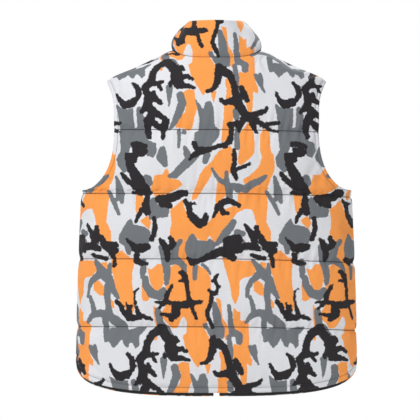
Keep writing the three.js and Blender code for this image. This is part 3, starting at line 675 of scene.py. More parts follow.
def fillBand(bottom, top, left, right, lines, fractions, side, crowd):
    # Rows of points between a lower and an upper path, evenly paced over the body.
    us = np.linspace(0, 1, 500)
    b, t = alongPath(bottom, us), alongPath(top, us)
    rows = []
    for v in 1 - (1 - np.linspace(0, 1, lines + 1))**crowd:
        l, r = alongPath(left, np.array([v]))[0], alongPath(right, np.array([v]))[0]
        straight = mix(mix(b[0], b[-1], us[:, None]), mix(t[0], t[-1], us[:, None]), v)
        line = mix(b, t, v) + mix(l, r, us[:, None]) - straight
        place, _ = onBody(line[:, 0], line[:, 1], side)
        reach = np.concatenate([[0], np.cumsum(np.linalg.norm(np.diff(place, axis=0), axis=1))])
        share = np.interp(fractions * reach[-1], reach, us)
        rows.append(np.stack([np.interp(share, us, line[:, k]) for k in (0, 1)], -1))
    return rows


def paceOf(path, corners, side, even):
    # Fractions along a panel's top, about evenly paced, that put a point exactly on each corner.
    place, _ = onBody(path[:, 0], path[:, 1], side)
    reach = np.concatenate([[0], np.cumsum(np.linalg.norm(np.diff(place, axis=0), axis=1))])
    stops = [0] + [reach[c] / reach[-1] for c in corners] + [1]
    counts = [max(2, 2 * round((b - a) * even / 2)) for a, b in zip(stops, stops[1:])]
    parts = [np.linspace(a, b, n + 1)[:-1] for a, b, n in zip(stops, stops[1:], counts)]
    return np.concatenate(parts + [[1.0]])


def bodyPanel(side, sign=1):
    # The flat grid of a back (side -1) or of one front (side 1), with its kinds of edge.
    outline = sidePath(side)
    shoulder = shoulderPath()
    if side < 0:
        hem = hemPath(side, 0, math.pi / 2)
        bottom = np.vstack([hem[::-1] * [-1, 1], hem[1:]])
        neckLine = backNeck(np.linspace(0, neck["width"] / 2, 80))
        rightHalf = np.vstack([neckLine, shoulder[1:]])
        top = np.vstack([(rightHalf * [-1, 1])[::-1], rightHalf[1:]])
        corners = [len(shoulder) - 1, len(shoulder) - 1 + 2 * (len(neckLine) - 1)]
        left = outline * [-1, 1]
        across = quilt["backCloth"]
    else:
        first = math.asin((zipEdge / (garment["hemWidth"] / 2))**1.5)
        bottom = hemPath(side, first, math.pi / 2)
        neckLine = frontNeck(np.linspace(math.asin(zipEdge / (neck["width"] / 2)), math.pi / 2, 80))
        top = np.vstack([neckLine, shoulder[1:]])
        corners = [len(neckLine) - 1]
        left = np.array([bottom[0], neckLine[0]])
        across = quilt["frontCloth"]
    fractions = paceOf(top, corners, side, across / quilt["cell"])
    rows, seamRows = [], []
    lower, leftHeight, rightHeight = bottom, bottom[0][1], bottom[-1][1]
    for level in quilt["seams"] + (None,):
        if level is None:
            upper, nextLeft, nextRight = top, top[0][1], top[-1][1]
        else:
            nextLeft, nextRight = seamEnd(level, left, side, sign), seamEnd(level, outline, side, sign)
            x = np.linspace(np.interp(nextLeft, left[:, 1], left[:, 0]),
                            np.interp(nextRight, outline[:, 1], outline[:, 0]), 120)
            upper = np.stack([x, seamHeight(level, sign * x, side)], -1)
        lines = 2 * round((max(upper[:, 1]) - min(lower[:, 1])) / quilt["cell"] / 2)
        band = fillBand(lower, upper, partOf(left, leftHeight, nextLeft),
                        partOf(outline, rightHeight, nextRight), lines, fractions, side,
                        1.5 if level is None else 1)
        rows += band if not rows else band[1:]
        if level is not None:
            seamRows.append(len(rows) - 1)
        lower, leftHeight, rightHeight = upper, nextLeft, nextRight
    grid = np.array(rows)
    x, z = grid[..., 0], grid[..., 1]
    point, normal = onBody(x, z, side)
    u, v = clothAt(x, z, side)
    flip = np.array([sign, 1, 1])
    last = grid.shape[1] - 1
    armholeFrom = int(np.argmax(z[:, last] > -garment["underarm"] - 1))
    edges = {"hem": [point[0]], "armhole": [point[armholeFrom:, last]],
             "sewn": [point[-1], point[:armholeFrom, last]]}
    if side < 0:
        edges["armhole"].append(point[armholeFrom:, 0])
        edges["sewn"].append(point[:armholeFrom, 0])
    else:
        edges["zip"] = [point[:, 0]]
    edges["seam"] = [point[j] for j in seamRows]
    return {"point": point * flip, "normal": normal * flip, "u": u * sign, "v": v, "seamRows": seamRows,
            "edges": {key: np.vstack(lines) * flip for key, lines in edges.items()},
            "armholeFrom": armholeFrom, "side": side}


def distanceTo(points, line):
    flat = points.reshape(-1, 3)
    out = np.empty(len(flat))
    for start in range(0, len(flat), 4000):
        part = flat[start:start + 4000]
        out[start:start + 4000] = np.sqrt(((part[:, None] - line[None])**2).sum(-1)).min(1)
    return out.reshape(points.shape[:-1])


def ripple(u, v, seed, wave):
    # Soft uneven waves, the same on every run.
    dice = np.random.default_rng(seed)
    total = 0
    for _ in range(7):
        length = wave * dice.uniform(0.7, 2.0)
        lean, start = dice.uniform(-0.35, 0.35), dice.uniform(0, 2 * math.pi)
        total = total + np.sin(2 * math.pi * (u + lean * v) / length + start)
    return total / 2.6


# Cloth simulation of the shell between its seams.

billow = {
    "frames": 18, "pressure": 1.1, "slack": 0.016, "stiffness": 12, "shear": 3, "bending": 0.6, "mass": 0.12,
    "quality": 5, "cap": 6.5, "creep": 2, "heldRim": 9,
}


def simulateShell(name, start, pinned):
    # Every second point of the panel's grid, held along its seams and blown out a little.
    lines, columns = start.shape[:2]
    index = np.arange(lines * columns).reshape(lines, columns)
    quads = np.stack([index[:-1, :-1], index[:-1, 1:], index[1:, 1:], index[1:, :-1]], -1).reshape(-1, 4)
    middle = start[lines // 2, columns // 2]
    normal = np.cross(start[lines // 2, columns // 2 + 1] - middle,
                      start[lines // 2 + 1, columns // 2] - middle)
    outward = middle - np.array([0, garment["forward"], middle[2]])
    if np.dot(normal, outward) < 0:
        quads = quads[:, ::-1]
    cloth = addMesh(name, start.reshape(-1, 3), quads.tolist(), [])
    group = cloth.vertex_groups.new(name="held")
    group.add([int(k) for k in index[pinned]], 1.0, "REPLACE")
    modifier = cloth.modifiers.new("cloth", "CLOTH")
    settings = modifier.settings
    settings.quality = billow["quality"]
    settings.mass = billow["mass"]
    settings.tension_stiffness = settings.compression_stiffness = billow["stiffness"]
    settings.shear_stiffness = billow["shear"]
    settings.bending_stiffness = billow["bending"]
    settings.vertex_group_mass = "held"
    settings.shrink_min = -billow["slack"]
    settings.use_pressure = True
    settings.uniform_pressure_force = billow["pressure"]
    settings.effector_weights.gravity = 0
    modifier.point_cache.frame_start = 1
    modifier.point_cache.frame_end = billow["frames"]
    for step in range(1, billow["frames"] + 1):
        scene.frame_set(step)
    settled = cloth.evaluated_get(bpy.context.evaluated_depsgraph_get())
    place = np.empty(len(settled.data.vertices) * 3, np.float32)
    settled.data.vertices.foreach_get("co", place)
    bpy.data.objects.remove(cloth)
    scene.frame_set(1)
    return place.reshape(start.shape).astype(float) * 1000 - start


def refine(coarse):
    # From every second point to every point, along both ways of the grid.
    for axis in (0, 1):
        moved = np.moveaxis(coarse, axis, 0)
        padded = np.concatenate([moved[:1], moved, moved[-1:]])
        between = (9 * (padded[1:-2] + padded[2:-1]) - padded[:-3] - padded[3:]) / 16
        full = np.empty((2 * len(moved) - 1,) + moved.shape[1:])
        full[0::2], full[1::2] = moved, between
        coarse = np.moveaxis(full, 0, axis)
    return coarse


def padPanel(panel, seed):
    # How far the shell stands off its sewing plane, and how deep the lining lies below it.
    point, normal, edges = panel["point"], panel["normal"], panel["edges"]
    away = {key: distanceTo(point, line) for key, line in edges.items()}
    rim = np.minimum.reduce([away[key] for key in edges if key != "seam"])
    held = mix(quilt["zipHeld"], 1, ease(away["zip"] / quilt["zipReach"])) if "zip" in away else 1.0
    groove = np.exp(-(away["seam"] / quilt["seamReach"])**1.35)
    lift = -quilt["seamDepth"] * held * groove
    lift -= quilt["sewnDepth"] * np.exp(-(away["sewn"] / quilt["sewnReach"])**2)
    lift += quilt["rowPuff"] * ease(away["seam"] / quilt["rowReach"]) * ease(rim / quilt["rimReach"])
    for key in ("hem", "armhole", "zip"):
        if key in away:
            # A topstitched edge: a line pressed in, the edge drawn down, and small puckers along it.
            besideStitch = away[key] - quilt[key + "Stitch"]
            lift -= (topstitch["depth"] * np.exp(-(besideStitch / topstitch["reach"])**2)
                     + topstitch["edgeDrop"] * np.exp(-(away[key] / topstitch["edgeReach"])**2))
            puckers = ripple(panel["u"] + panel["v"], 0 * rim, seed + 5, topstitch["puckerWave"])
            lift += topstitch["pucker"] * puckers * np.exp(-(besideStitch / topstitch["puckerReach"])**2)
    near = np.exp(-np.abs(away["seam"] - 5) / quilt["puckerReach"]) * ease(away["seam"] / 3)
    lift += quilt["pucker"] * ripple(panel["u"], panel["v"], seed, quilt["puckerWave"]) * near
    move = normal * lift[..., None]
    coarse = (slice(None, None, 2), slice(None, None, 2))
    start = (point + move)[coarse]
    pinned = np.zeros(start.shape[:2], bool)
    pinned[[0, -1]] = True
    pinned[:, [0, -1]] = True
    pinned[[j // 2 for j in panel["seamRows"]]] = True
    pinned |= rim[coarse] < billow["heldRim"]
    drift = refine(simulateShell("shell cloth", start, pinned))
    out = (drift * normal).sum(-1, keepdims=True)
    along = drift - out * normal
    calm = ease((rim - 7) / 12)[..., None]
    swell = billow["cap"] * np.tanh(out / billow["cap"]) * normal
    move = move + calm * (swell + np.clip(along, -billow["creep"], billow["creep"]))
    deep = mix(quilt["edgeThick"], quilt["thick"], ease((rim - 3) / 20))
    deep = mix(deep, quilt["pinch"], groove * ease((rim - 3) / 12))
    waves = ripple(panel["u"], panel["v"], seed + 9, quilt["liningWave"])
    deep += quilt["liningRipple"] * waves * ease((rim - 12) / 14)
    # The distance to the nearest seam or sewn edge, which the shell's colour turns into a painted shade along
    # the seam creases.
    panel["seamAway"] = np.minimum(np.minimum(away["seam"], away["sewn"] * quilt["joinShade"]), farFromSeam)
    return point + move, point - normal * deep[..., None]


def closePanel(name, outer, inner, u, v, materials, bulge, sharp=(), offset=(0, 0), seamAway=None):
    # One closed piece from its two faces, with a rolled edge.
    # bulge and sharp name the sides: 0 the bottom, 1 the right, 2 the top, 3 the left.
    lines, columns = outer.shape[:2]
    index = np.arange(lines * columns).reshape(lines, columns)
    count = lines * columns
    loop = [(0, i, 0) for i in range(columns - 1)] + [(j, columns - 1, 1) for j in range(lines - 1)]
    loop += [(lines - 1, columns - 1 - i, 2) for i in range(columns - 1)]
    loop += [(lines - 1 - j, 0, 3) for j in range(lines - 1)]
    inward = {0: (1, 0), 1: (0, -1), 2: (-1, 0), 3: (0, 1)}
    rings, uvs = [[], []], []
    for j, i, sideOf in loop:
        dj, di = inward[sideOf]
        away = outer[j, i] - outer[j + dj * 2, i + di * 2]
        away /= np.linalg.norm(away)
        for ring, share in zip(rings, (0.3, 0.72)):
            roll = bulge[sideOf] * math.sin(math.pi * share)
            ring.append(mix(outer[j, i], inner[j, i], share) + away * roll)
    points = np.vstack([outer.reshape(-1, 3), inner.reshape(-1, 3), np.array(rings[0]), np.array(rings[1])])
    faces, slots = [], []
    quad = np.stack([index[:-1, :-1], index[:-1, 1:], index[1:, 1:], index[1:, :-1]], -1).reshape(-1, 4)
    faces += quad.tolist() + (quad[:, ::-1] + count).tolist()
    slots += [0] * len(quad) + [1] * len(quad)
    n = len(loop)
    outerLoop = [int(index[j, i]) for j, i, _ in loop]
    chain = [outerLoop, list(range(2 * count, 2 * count + n)), list(range(2 * count + n, 2 * count + 2 * n)),
             [k + count for k in outerLoop]]
    for upper, lower in zip(chain, chain[1:]):
        for k in range(n):
            m = (k + 1) % n
            faces.append([upper[m], upper[k], lower[k], lower[m]])
            slots.append(0)
    uFlat, vFlat = (u + offset[0]).ravel(), (v + offset[1]).ravel()
    edgeU, edgeV = uFlat[outerLoop], vFlat[outerLoop]
    uAll = np.concatenate([uFlat, uFlat, edgeU, edgeU])
    vAll = np.concatenate([vFlat, vFlat, edgeV, edgeV])
    faces = facesOutward(points, [tuple(f) for f in faces])
    values = printAt(uAll, vAll)
    # Distances to the seams, for the painted shade along the seam creases; far from any seam elsewhere.
    values["seamAway"] = np.full(len(uAll), farFromSeam)
    if seamAway is not None:
        values["seamAway"][:count] = seamAway.ravel()
        values["seamAway"][2 * count:2 * count + n] = seamAway.ravel()[outerLoop]
    piece = addMesh(name, points, faces, materials, slots, np.stack([uAll, vAll], -1), values)
    if sharp:
        marks = np.zeros(len(piece.data.edges), bool)
        ends = np.empty(len(piece.data.edges) * 2, np.int32)
        piece.data.edges.foreach_get("vertices", ends)
        ends = ends.reshape(-1, 2)
        for sideOf in sharp:
            line = {0: index[0], 1: index[:, -1], 2: index[-1], 3: index[:, 0]}[sideOf]
            for part in (line, line + count):
                marks |= np.isin(ends, part).all(1)
        attribute = piece.data.attributes.new("sharp_edge", "BOOLEAN", "EDGE")
        attribute.data.foreach_set("value", marks)
    return piece


# Materials.

fabric = {
    "white": "#e2e3e8", "weaveMm": 1.1, "napMm": 2.6, "napTone": (0.9, 1.07), "blotchMm": 60,
    # seamShade and seamWide: how dark and how wide the painted shade along the seams is.
    "blotchTone": (0.95, 1.04), "seamShade": 0.3, "seamWide": 1.5,
    # edge attribute, ink, how far it spreads, how unevenly, over what length
    "inks": [("orangeEdge", "#ffa14e", 0.6, 4.6, 5.5), ("greyEdge", "#70757a", 0.0, 4.6, 5.5),
             ("blackEdge", "#1f1b1f", 0.7, 8.0, 7.5)],
}

# A wave texture has this scale over the length of a wave in millimetres.
waveScale = 314

# Brushed polyester with a printed pattern: matt, with a faint nap. The print's edges bleed a little, and the
# colour is darkened along the seams where the cloth is sewn through: a painted shade in the creases.
printedShell, tree, shader = newMaterial("printed brushed polyester", {
    "Roughness": 0.88, "Sheen Weight": 0.08, "Sheen Roughness": 0.5})
cloth = addNode(tree, "ShaderNodeUVMap", {"uv_map": "cloth"}).outputs["UV"]
nap = noiseAt(tree, cloth, fabric["napMm"], 4.0, "2D")
colour = toLinear(fabric["white"])
for key, ink, spread, wobble, wave in fabric["inks"]:
    wander = noiseAt(tree, cloth, wave, 4.0, "2D", 0.65)
    edge = addNode(tree, "ShaderNodeAttribute", {"attribute_name": key})
    shift = calculate(tree, "MULTIPLY_ADD", wander, wobble, edge.outputs["Fac"])
    middle = wobble / 2 + spread
    share = rescale(tree, shift, 1.0, 0.0, middle - 0.5, middle + 0.5)
    inked = addNode(tree, "ShaderNodeMix", {"data_type": "RGBA"}, {0: share, 6: colour, 7: toLinear(ink)})
    colour = inked.outputs[2]
tone = rescale(tree, nap, *fabric["napTone"])
drift = rescale(tree, noiseAt(tree, cloth, fabric["blotchMm"], 2.0, "2D"), *fabric["blotchTone"])
# Painted shade along the seam creases: the colour darkens within seamWide millimetres of a seam.
seamAway = addNode(tree, "ShaderNodeAttribute", {"attribute_name": "seamAway"})
crease = rescale(tree, seamAway.outputs["Fac"], fabric["seamShade"], 1.0, fabric["seamWide"] * 0.4,
                 fabric["seamWide"], "SMOOTHSTEP")
shade = calculate(tree, "MULTIPLY", calculate(tree, "MULTIPLY", tone, drift), crease)
weave = addNode(tree, "ShaderNodeTexWave", {"bands_direction": "DIAGONAL"}, {
    "Vector": cloth, "Scale": waveScale / fabric["weaveMm"], "Distortion": 1.0, "Detail": 1.0})
pile = calculate(tree, "MULTIPLY_ADD", weave.outputs["Fac"], 0.35, nap)
dressSurface(tree, shader, colour, shade, pile, 0.35, 0.0006)


def clothMaterial(name, hexColour, threadMm, roughness, sheen, ribs, bumpStrength=0.4):
    # Woven or knitted cloth in one colour: threads at threadMm, and ribs across or along where it is tape.
    material, tree, shader = newMaterial(name, {"Roughness": roughness, "Sheen Weight": sheen,
                                                "Sheen Roughness": 0.4})
    place = addNode(tree, "ShaderNodeTexCoord").outputs["Object"]
    thread = addNode(tree, "ShaderNodeTexWave", {"bands_direction": ribs}, {
        "Vector": place, "Scale": waveScale / threadMm, "Distortion": 0.6, "Detail": 1.0})
    cross = noiseAt(tree, place, threadMm, 3.0)
    height = calculate(tree, "MULTIPLY_ADD", thread.outputs["Fac"], 0.7, cross)
    wear = rescale(tree, noiseAt(tree, place, 35, 4.0), 0.7, 1.35)
    dressSurface(tree, shader, toLinear(hexColour)[:3], wear, height, bumpStrength, 0.0004)
    return material


# Taffeta is smooth and a little glossy, tape and strap are ribbed and matt, thread catches a soft light.
liningTaffeta = clothMaterial("black polyester taffeta", "#1c1b1f", 0.9, 0.5, 0.15, "Z", 0.25)
zipTape = clothMaterial("black knitted zip tape", "#242327", 1.2, 0.85, 0.2, "Z", 0.7)
strapTape = clothMaterial("black woven strap", "#1b1b1e", 1.4, 0.8, 0.2, "X", 0.8)
labelSatin = clothMaterial("dark woven label", "#3a393d", 0.8, 0.55, 0.3, "Z", 0.5)
darkThread = clothMaterial("dark polyester thread", "#2f2d31", 0.8, 0.6, 0.2, "DIAGONAL", 0.6)
paleThread = clothMaterial("grey polyester thread", "#55565b", 0.8, 0.6, 0.2, "DIAGONAL", 0.6)


def hardMaterial(name, hexColour, roughness, metallic, scratchMm, coat=0.0):
    # Cast metal under paint, or moulded resin: fine mottling in the gloss, a little wear in the colour.
    material, tree, shader = newMaterial(name, {"Metallic": metallic, "Roughness": roughness,
                                                "Coat Weight": coat, "Coat Roughness": 0.25})
    place = addNode(tree, "ShaderNodeTexCoord").outputs["Object"]
    grain = noiseAt(tree, place, scratchMm, 5.0)
    tree.links.new(rescale(tree, grain, roughness - 0.12, roughness + 0.14), shader.inputs["Roughness"])
    dressSurface(tree, shader, toLinear(hexColour)[:3], rescale(tree, grain, 0.7, 1.4), grain, 0.15, 0.0002)
    return material


paintedZinc = hardMaterial("black painted die-cast zinc", "#3b3b3f", 0.38, 0.6, 3.0, 0.3)
mouldedResin = hardMaterial("black moulded acetal", "#2b2b2f", 0.42, 0.0, 2.0)
enamelledBrass = hardMaterial("black enamelled brass", "#303034", 0.3, 0.5, 4.0, 0.4)
print("materials made")


# Stitches, laid along their seams.

stitchSize = {"length": 3.0, "pitch": 4.1, "radius": 0.42, "lift": 0.3}


def openTree(name, numbers):
    # A tree that takes a curve, some lengths and a material, with points spaced along the curve.
    tree = bpy.data.node_groups.new(name, "GeometryNodeTree")
    sockets = [("Geometry", "NodeSocketGeometry")] + [(number, "NodeSocketFloat") for number in numbers]
    for key, kind in sockets + [("Material", "NodeSocketMaterial")]:
        tree.interface.new_socket(key, in_out="INPUT", socket_type=kind)
    tree.interface.new_socket("Geometry", in_out="OUTPUT", socket_type="NodeSocketGeometry")
    given = addNode(tree, "NodeGroupInput").outputs
    spaced = addNode(tree, "GeometryNodeResampleCurve", {"mode": "LENGTH"}, {
        "Curve": given["Geometry"], "Length": given["Pitch"]})
    return tree, given, spaced.outputs["Curve"]


def closeTree(tree, given, laid, smooth):
    real = addNode(tree, "GeometryNodeRealizeInstances", inputs={"Geometry": laid.outputs[0]})
    if smooth:
        real = addNode(tree, "GeometryNodeSetShadeSmooth", inputs={"Geometry": real.outputs[0]})
    dressed = addNode(tree, "GeometryNodeSetMaterial", inputs={
        "Geometry": real.outputs[0], "Material": given["Material"]})
    addNode(tree, "NodeGroupOutput", inputs={"Geometry": dressed.outputs[0]})
    return tree


def stitchTree():
    tree, given, spaced = openTree("stitches", ("Pitch", "Length", "Radius"))
    ball = addNode(tree, "GeometryNodeMeshUVSphere", inputs={"Segments": 6, "Rings": 4, "Radius": 1.0})
    size = addNode(tree, "ShaderNodeCombineXYZ", inputs={
        0: given["Radius"], 1: given["Radius"], 2: calculate(tree, "MULTIPLY", given["Length"], 0.5)})
    stitch = addNode(tree, "GeometryNodeTransform", inputs={"Geometry": ball.outputs["Mesh"],
                                                            "Scale": size.outputs[0]})
    tangent = addNode(tree, "GeometryNodeInputTangent")
    lie = addNode(tree, "FunctionNodeAlignRotationToVector", {"axis": "Z"}, {"Vector": tangent.outputs[0]})
    laid = addNode(tree, "GeometryNodeInstanceOnPoints", inputs={
        "Points": spaced, "Instance": stitch.outputs["Geometry"], "Rotation": lie.outputs[0]})
    return closeTree(tree, given, laid, True)


def toothTree():
    # A tooth is a clamp over the tape's cord, a slimmer neck and a rounded head towards the middle.
    tree, given, spaced = openTree("zip teeth", ("Pitch", "Width", "Thickness", "Height", "Side"))
    tooth = addNode(tree, "GeometryNodeJoinGeometry")
    lumps = ((0.46, 1.0, 0.72, 0.27), (0.5, 0.62, 0.42, -0.06), (0.3, 0.86, 0.8, -0.33))
    for across, deep, tall, shift in lumps:
        shares = {"Width": across, "Thickness": deep, "Height": tall}
        sizes = [calculate(tree, "MULTIPLY", given[key], share) for key, share in shares.items()]
        size = addNode(tree, "ShaderNodeCombineXYZ", inputs=dict(enumerate(sizes)))
        lump = addNode(tree, "GeometryNodeMeshCube", inputs={
            "Size": size.outputs[0], "Vertices X": 2, "Vertices Y": 2, "Vertices Z": 2})
        away = calculate(tree, "MULTIPLY", calculate(tree, "MULTIPLY", given["Width"], shift), given["Side"])
        place = addNode(tree, "ShaderNodeCombineXYZ", inputs={0: away})
        shape = addNode(tree, "GeometryNodeTransform", inputs={
            "Geometry": lump.outputs["Mesh"], "Translation": place.outputs[0]})
        tree.links.new(shape.outputs[0], tooth.inputs[0])
    laid = addNode(tree, "GeometryNodeInstanceOnPoints", inputs={
        "Points": spaced, "Instance": tooth.outputs[0]})
    return closeTree(tree, given, laid, False)


stitches = stitchTree()
teeth = toothTree()


def followPaths(name, paths, tree, sizes):
    # A curve through each path, with the tree's shapes along it, made one plain mesh.
    line = bpy.data.curves.new(name, "CURVE")
    line.dimensions = "3D"
    for path in paths:
        spline = line.splines.new("POLY")
        spline.points.add(len(path) - 1)
        flat = np.hstack([np.asarray(path) / 1000, np.ones((len(path), 1))])
        spline.points.foreach_set("co", flat.ravel())
    source = bpy.data.objects.new(name + " path", line)
    scene.collection.objects.link(source)
    modifier = source.modifiers.new("along", "NODES")
    modifier.node_group = tree
    sockets = {item.name: item.identifier for item in tree.interface.items_tree if item.in_out == "INPUT"}
    for key, value in sizes.items():
        modifier[sockets[key]] = value
    depsgraph = bpy.context.evaluated_depsgraph_get()
    mesh = bpy.data.meshes.new_from_object(source.evaluated_get(depsgraph), depsgraph=depsgraph)
    bpy.data.objects.remove(source)
    piece = bpy.data.objects.new(name, mesh)
    mesh.name = name
    scene.collection.objects.link(piece)
    return piece


def sewStitches(name, paths, thread):
    return followPaths(name, paths, stitches, {
        "Pitch": stitchSize["pitch"] / 1000, "Length": stitchSize["length"] / 1000,
        "Radius": stitchSize["radius"] / 1000, "Material": thread})


# The body: one padded back and two padded fronts.

def bodyOf(node):
    return nodes[node]["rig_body"]


pocket = {
    "from": 38, "to": 174, "top": -452, "bottom": -612, "depth": 9.2, "cloth": 1.3, "edgeRoll": 13,
    "stitchInset": 5, "stitchDepth": 1.1, "stitchReach": 1.8, "mouthHem": 14, "hemDepth": 1.4,
    "hemReach": 2.2, "seat": 0.4, "sag": 0.55, "sagWave": 34, "printShift": (150, -77),
}
flap = {
    "overhang": 4, "rise": 16, "length": 62, "lift": 12.1, "cloth": 1.5, "knee": 12.5, "corner": 16,
    "stitchInset": 5, "stitchDepth": 0.5, "stitchReach": 1.6, "seat": 0.4, "sag": 0.35, "sagWave": 40,
    "printShift": (-60, 133),
}
snaps = {"stud": (6, 2, -0.5), "cap": (7.5, 1.6, 0.5)}  # radius, height, how far the middle domes


def pressUnderPockets(panel, outer):
    # The padding lies flat where a pocket and its flap are sewn over it.
    x, z = np.abs(panel["point"][..., 0]), panel["point"][..., 2]
    outside = np.maximum(np.maximum(pocket["from"] - 6 - x, x - pocket["to"] - 6),
                         np.maximum(z - (pocket["top"] + flap["rise"]) - 2, pocket["bottom"] - 3 - z))
    out = ((outer - panel["point"]) * panel["normal"]).sum(-1)
    pressed = np.maximum(out + 0.4, 0) * ease(1 - outside / 14)
    return outer - panel["normal"] * pressed[..., None]


def edgePath(outer, normal, away, inset, lanes):
    # The line that lies inset from an edge; each lane is a run of points from the edge inward.
    path = []
    for rowIds, columnIds in lanes:
        reach = away[rowIds, columnIds]
        k = int(np.argmax(reach >= inset))
        if k == 0:
            continue
        t = (inset - reach[k - 1]) / (reach[k] - reach[k - 1])
        nearer, further = [
            outer[rowIds[m], columnIds[m]] + normal[rowIds[m], columnIds[m]] * stitchSize["lift"]
            for m in (k - 1, k)]
        path.append(mix(nearer, further, t))
    return np.array(path)


def panelStitches(panel, outer):
    point, normal, edges = panel["point"], panel["normal"], panel["edges"]
    lines, columns = point.shape[:2]
    paths = [(outer + normal * stitchSize["lift"])[j, 2:-2] for j in panel["seamRows"]]
    depth = min(34, lines - 1)
    hemAway = distanceTo(point[:depth], edges["hem"])
    lanes = [(np.arange(depth), np.full(depth, i)) for i in range(3, columns - 3)]
    paths.append(edgePath(outer, normal, hemAway, quilt["hemStitch"], lanes))
    rows = range(panel["armholeFrom"] + 3, lines - 2)
    for last in ([True, False] if panel["side"] < 0 else [True]):
        ids = np.arange(columns - 1, columns - 40, -1) if last else np.arange(0, 40)
        away = np.full((lines, columns), 1e3)
        strip = np.ix_(np.arange(panel["armholeFrom"], lines), np.sort(ids))
        away[strip] = distanceTo(point[strip], edges["armhole"])
        lanes = [(np.full(len(ids), j), ids) for j in rows]
        paths.append(edgePath(outer, normal, away, quilt["armholeStitch"], lanes))
    if "zip" in edges:
        ids = np.arange(0, 12)
        away = np.full((lines, columns), 1e3)
        away[:, :12] = distanceTo(point[:, :12], edges["zip"])
        lanes = [(np.full(12, j), ids) for j in range(3, lines - 2)]
        paths.append(edgePath(outer, normal, away, quilt["zipStitch"], lanes))
    return [path for path in paths if len(path) > 2]


shellAndLining = [printedShell, liningTaffeta]
printOffset = {"root": (0, 0), "right_front": (92, -61), "left_front": (47, -188)}


def dressPanel(name, panel, seed, body, replaced):
    outer, inner = padPanel(panel, seed)
    if panel["side"] > 0:
        outer = pressUnderPockets(panel, outer)
    bulge = {0: quilt["hemRoll"], 1: quilt["armholeRoll"], 2: 0.0,
             3: quilt["armholeRoll"] if panel["side"] < 0 else quilt["zipRoll"]}
    piece = closePanel(name, outer, inner, panel["u"], panel["v"], shellAndLining, bulge,
                       offset=printOffset[body], seamAway=panel["seamAway"])
    sewn = sewStitches(name.replace("panel", "stitches"), panelStitches(panel, outer), darkThread)
    if body == "root":
        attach(piece, body)
        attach(sewn, body)
    else:
        for part in (piece, sewn):
            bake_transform(part)
    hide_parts(*replaced)
    print(name, "made,", len(piece.data.polygons), "faces")


padParts = ("shell", "filling", "lining")
dressPanel("back_panel", bodyPanel(-1), 3, "root", [f"back_{part}" for part in padParts])
for sideName, sign, seed in (("right", 1, 11), ("left", -1, 23)):
    dressPanel(f"{sideName}_front_panel", bodyPanel(1, sign), seed, f"{sideName}_front",
               [f"{sideName}_{place}_{part}" for place in ("side", "front") for part in padParts])


# The stand collar, in a back and two fronts that meet level with the shoulder seams.

collarCloth = {
    "lines": 26, "perQuarter": 46, "puff": 1.8, "puffReach": 26, "fold": 1.5, "foldWave": 46, "foldReach": 30,
    "crease": 0.7, "creaseWave": 17, "creaseReach": 12, "edgeDrop": 0.8, "edgeReach": 3, "edgeThick": 4.6,
    "thick": 12.4, "roll": 2.0, "endRoll": 0.8, "sewn": 2.2, "sewnReach": 4.5,
    "bendFrom": 86.5, "bendTo": 122,
}


def collarPoints(angle, rise):
    onFront = angle > math.pi / 2
    spread = neck["width"] / 2 * np.sin(angle)
    low = np.where(onFront[..., None], frontNeck(math.pi - angle), backNeck(spread))
    front, _ = onBody(low[..., 0], low[..., 1], 1)
    back, _ = onBody(low[..., 0], low[..., 1], -1)
    base = np.where(onFront[..., None], front, back) + [0, 0, 0.4]
    drop = ease(angle / (math.pi / 2) - 1)**0.8
    topY = mix(-collar["topBackDepth"], garment["depth"] / 2, (1 - np.cos(angle)) / 2) + garment["forward"]
    top = np.stack([collar["topWidth"] / 2 * np.sin(angle), topY,
                    mix(collar["backHeight"], collar["frontTop"], drop)], -1)
    full = collar["fullness"] * np.sin(math.pi * np.clip(rise, 0, 1)**0.8) * np.sin(angle)**3
    return mix(base, top, rise[..., None]) + full[..., None] * [1, 0, 0]


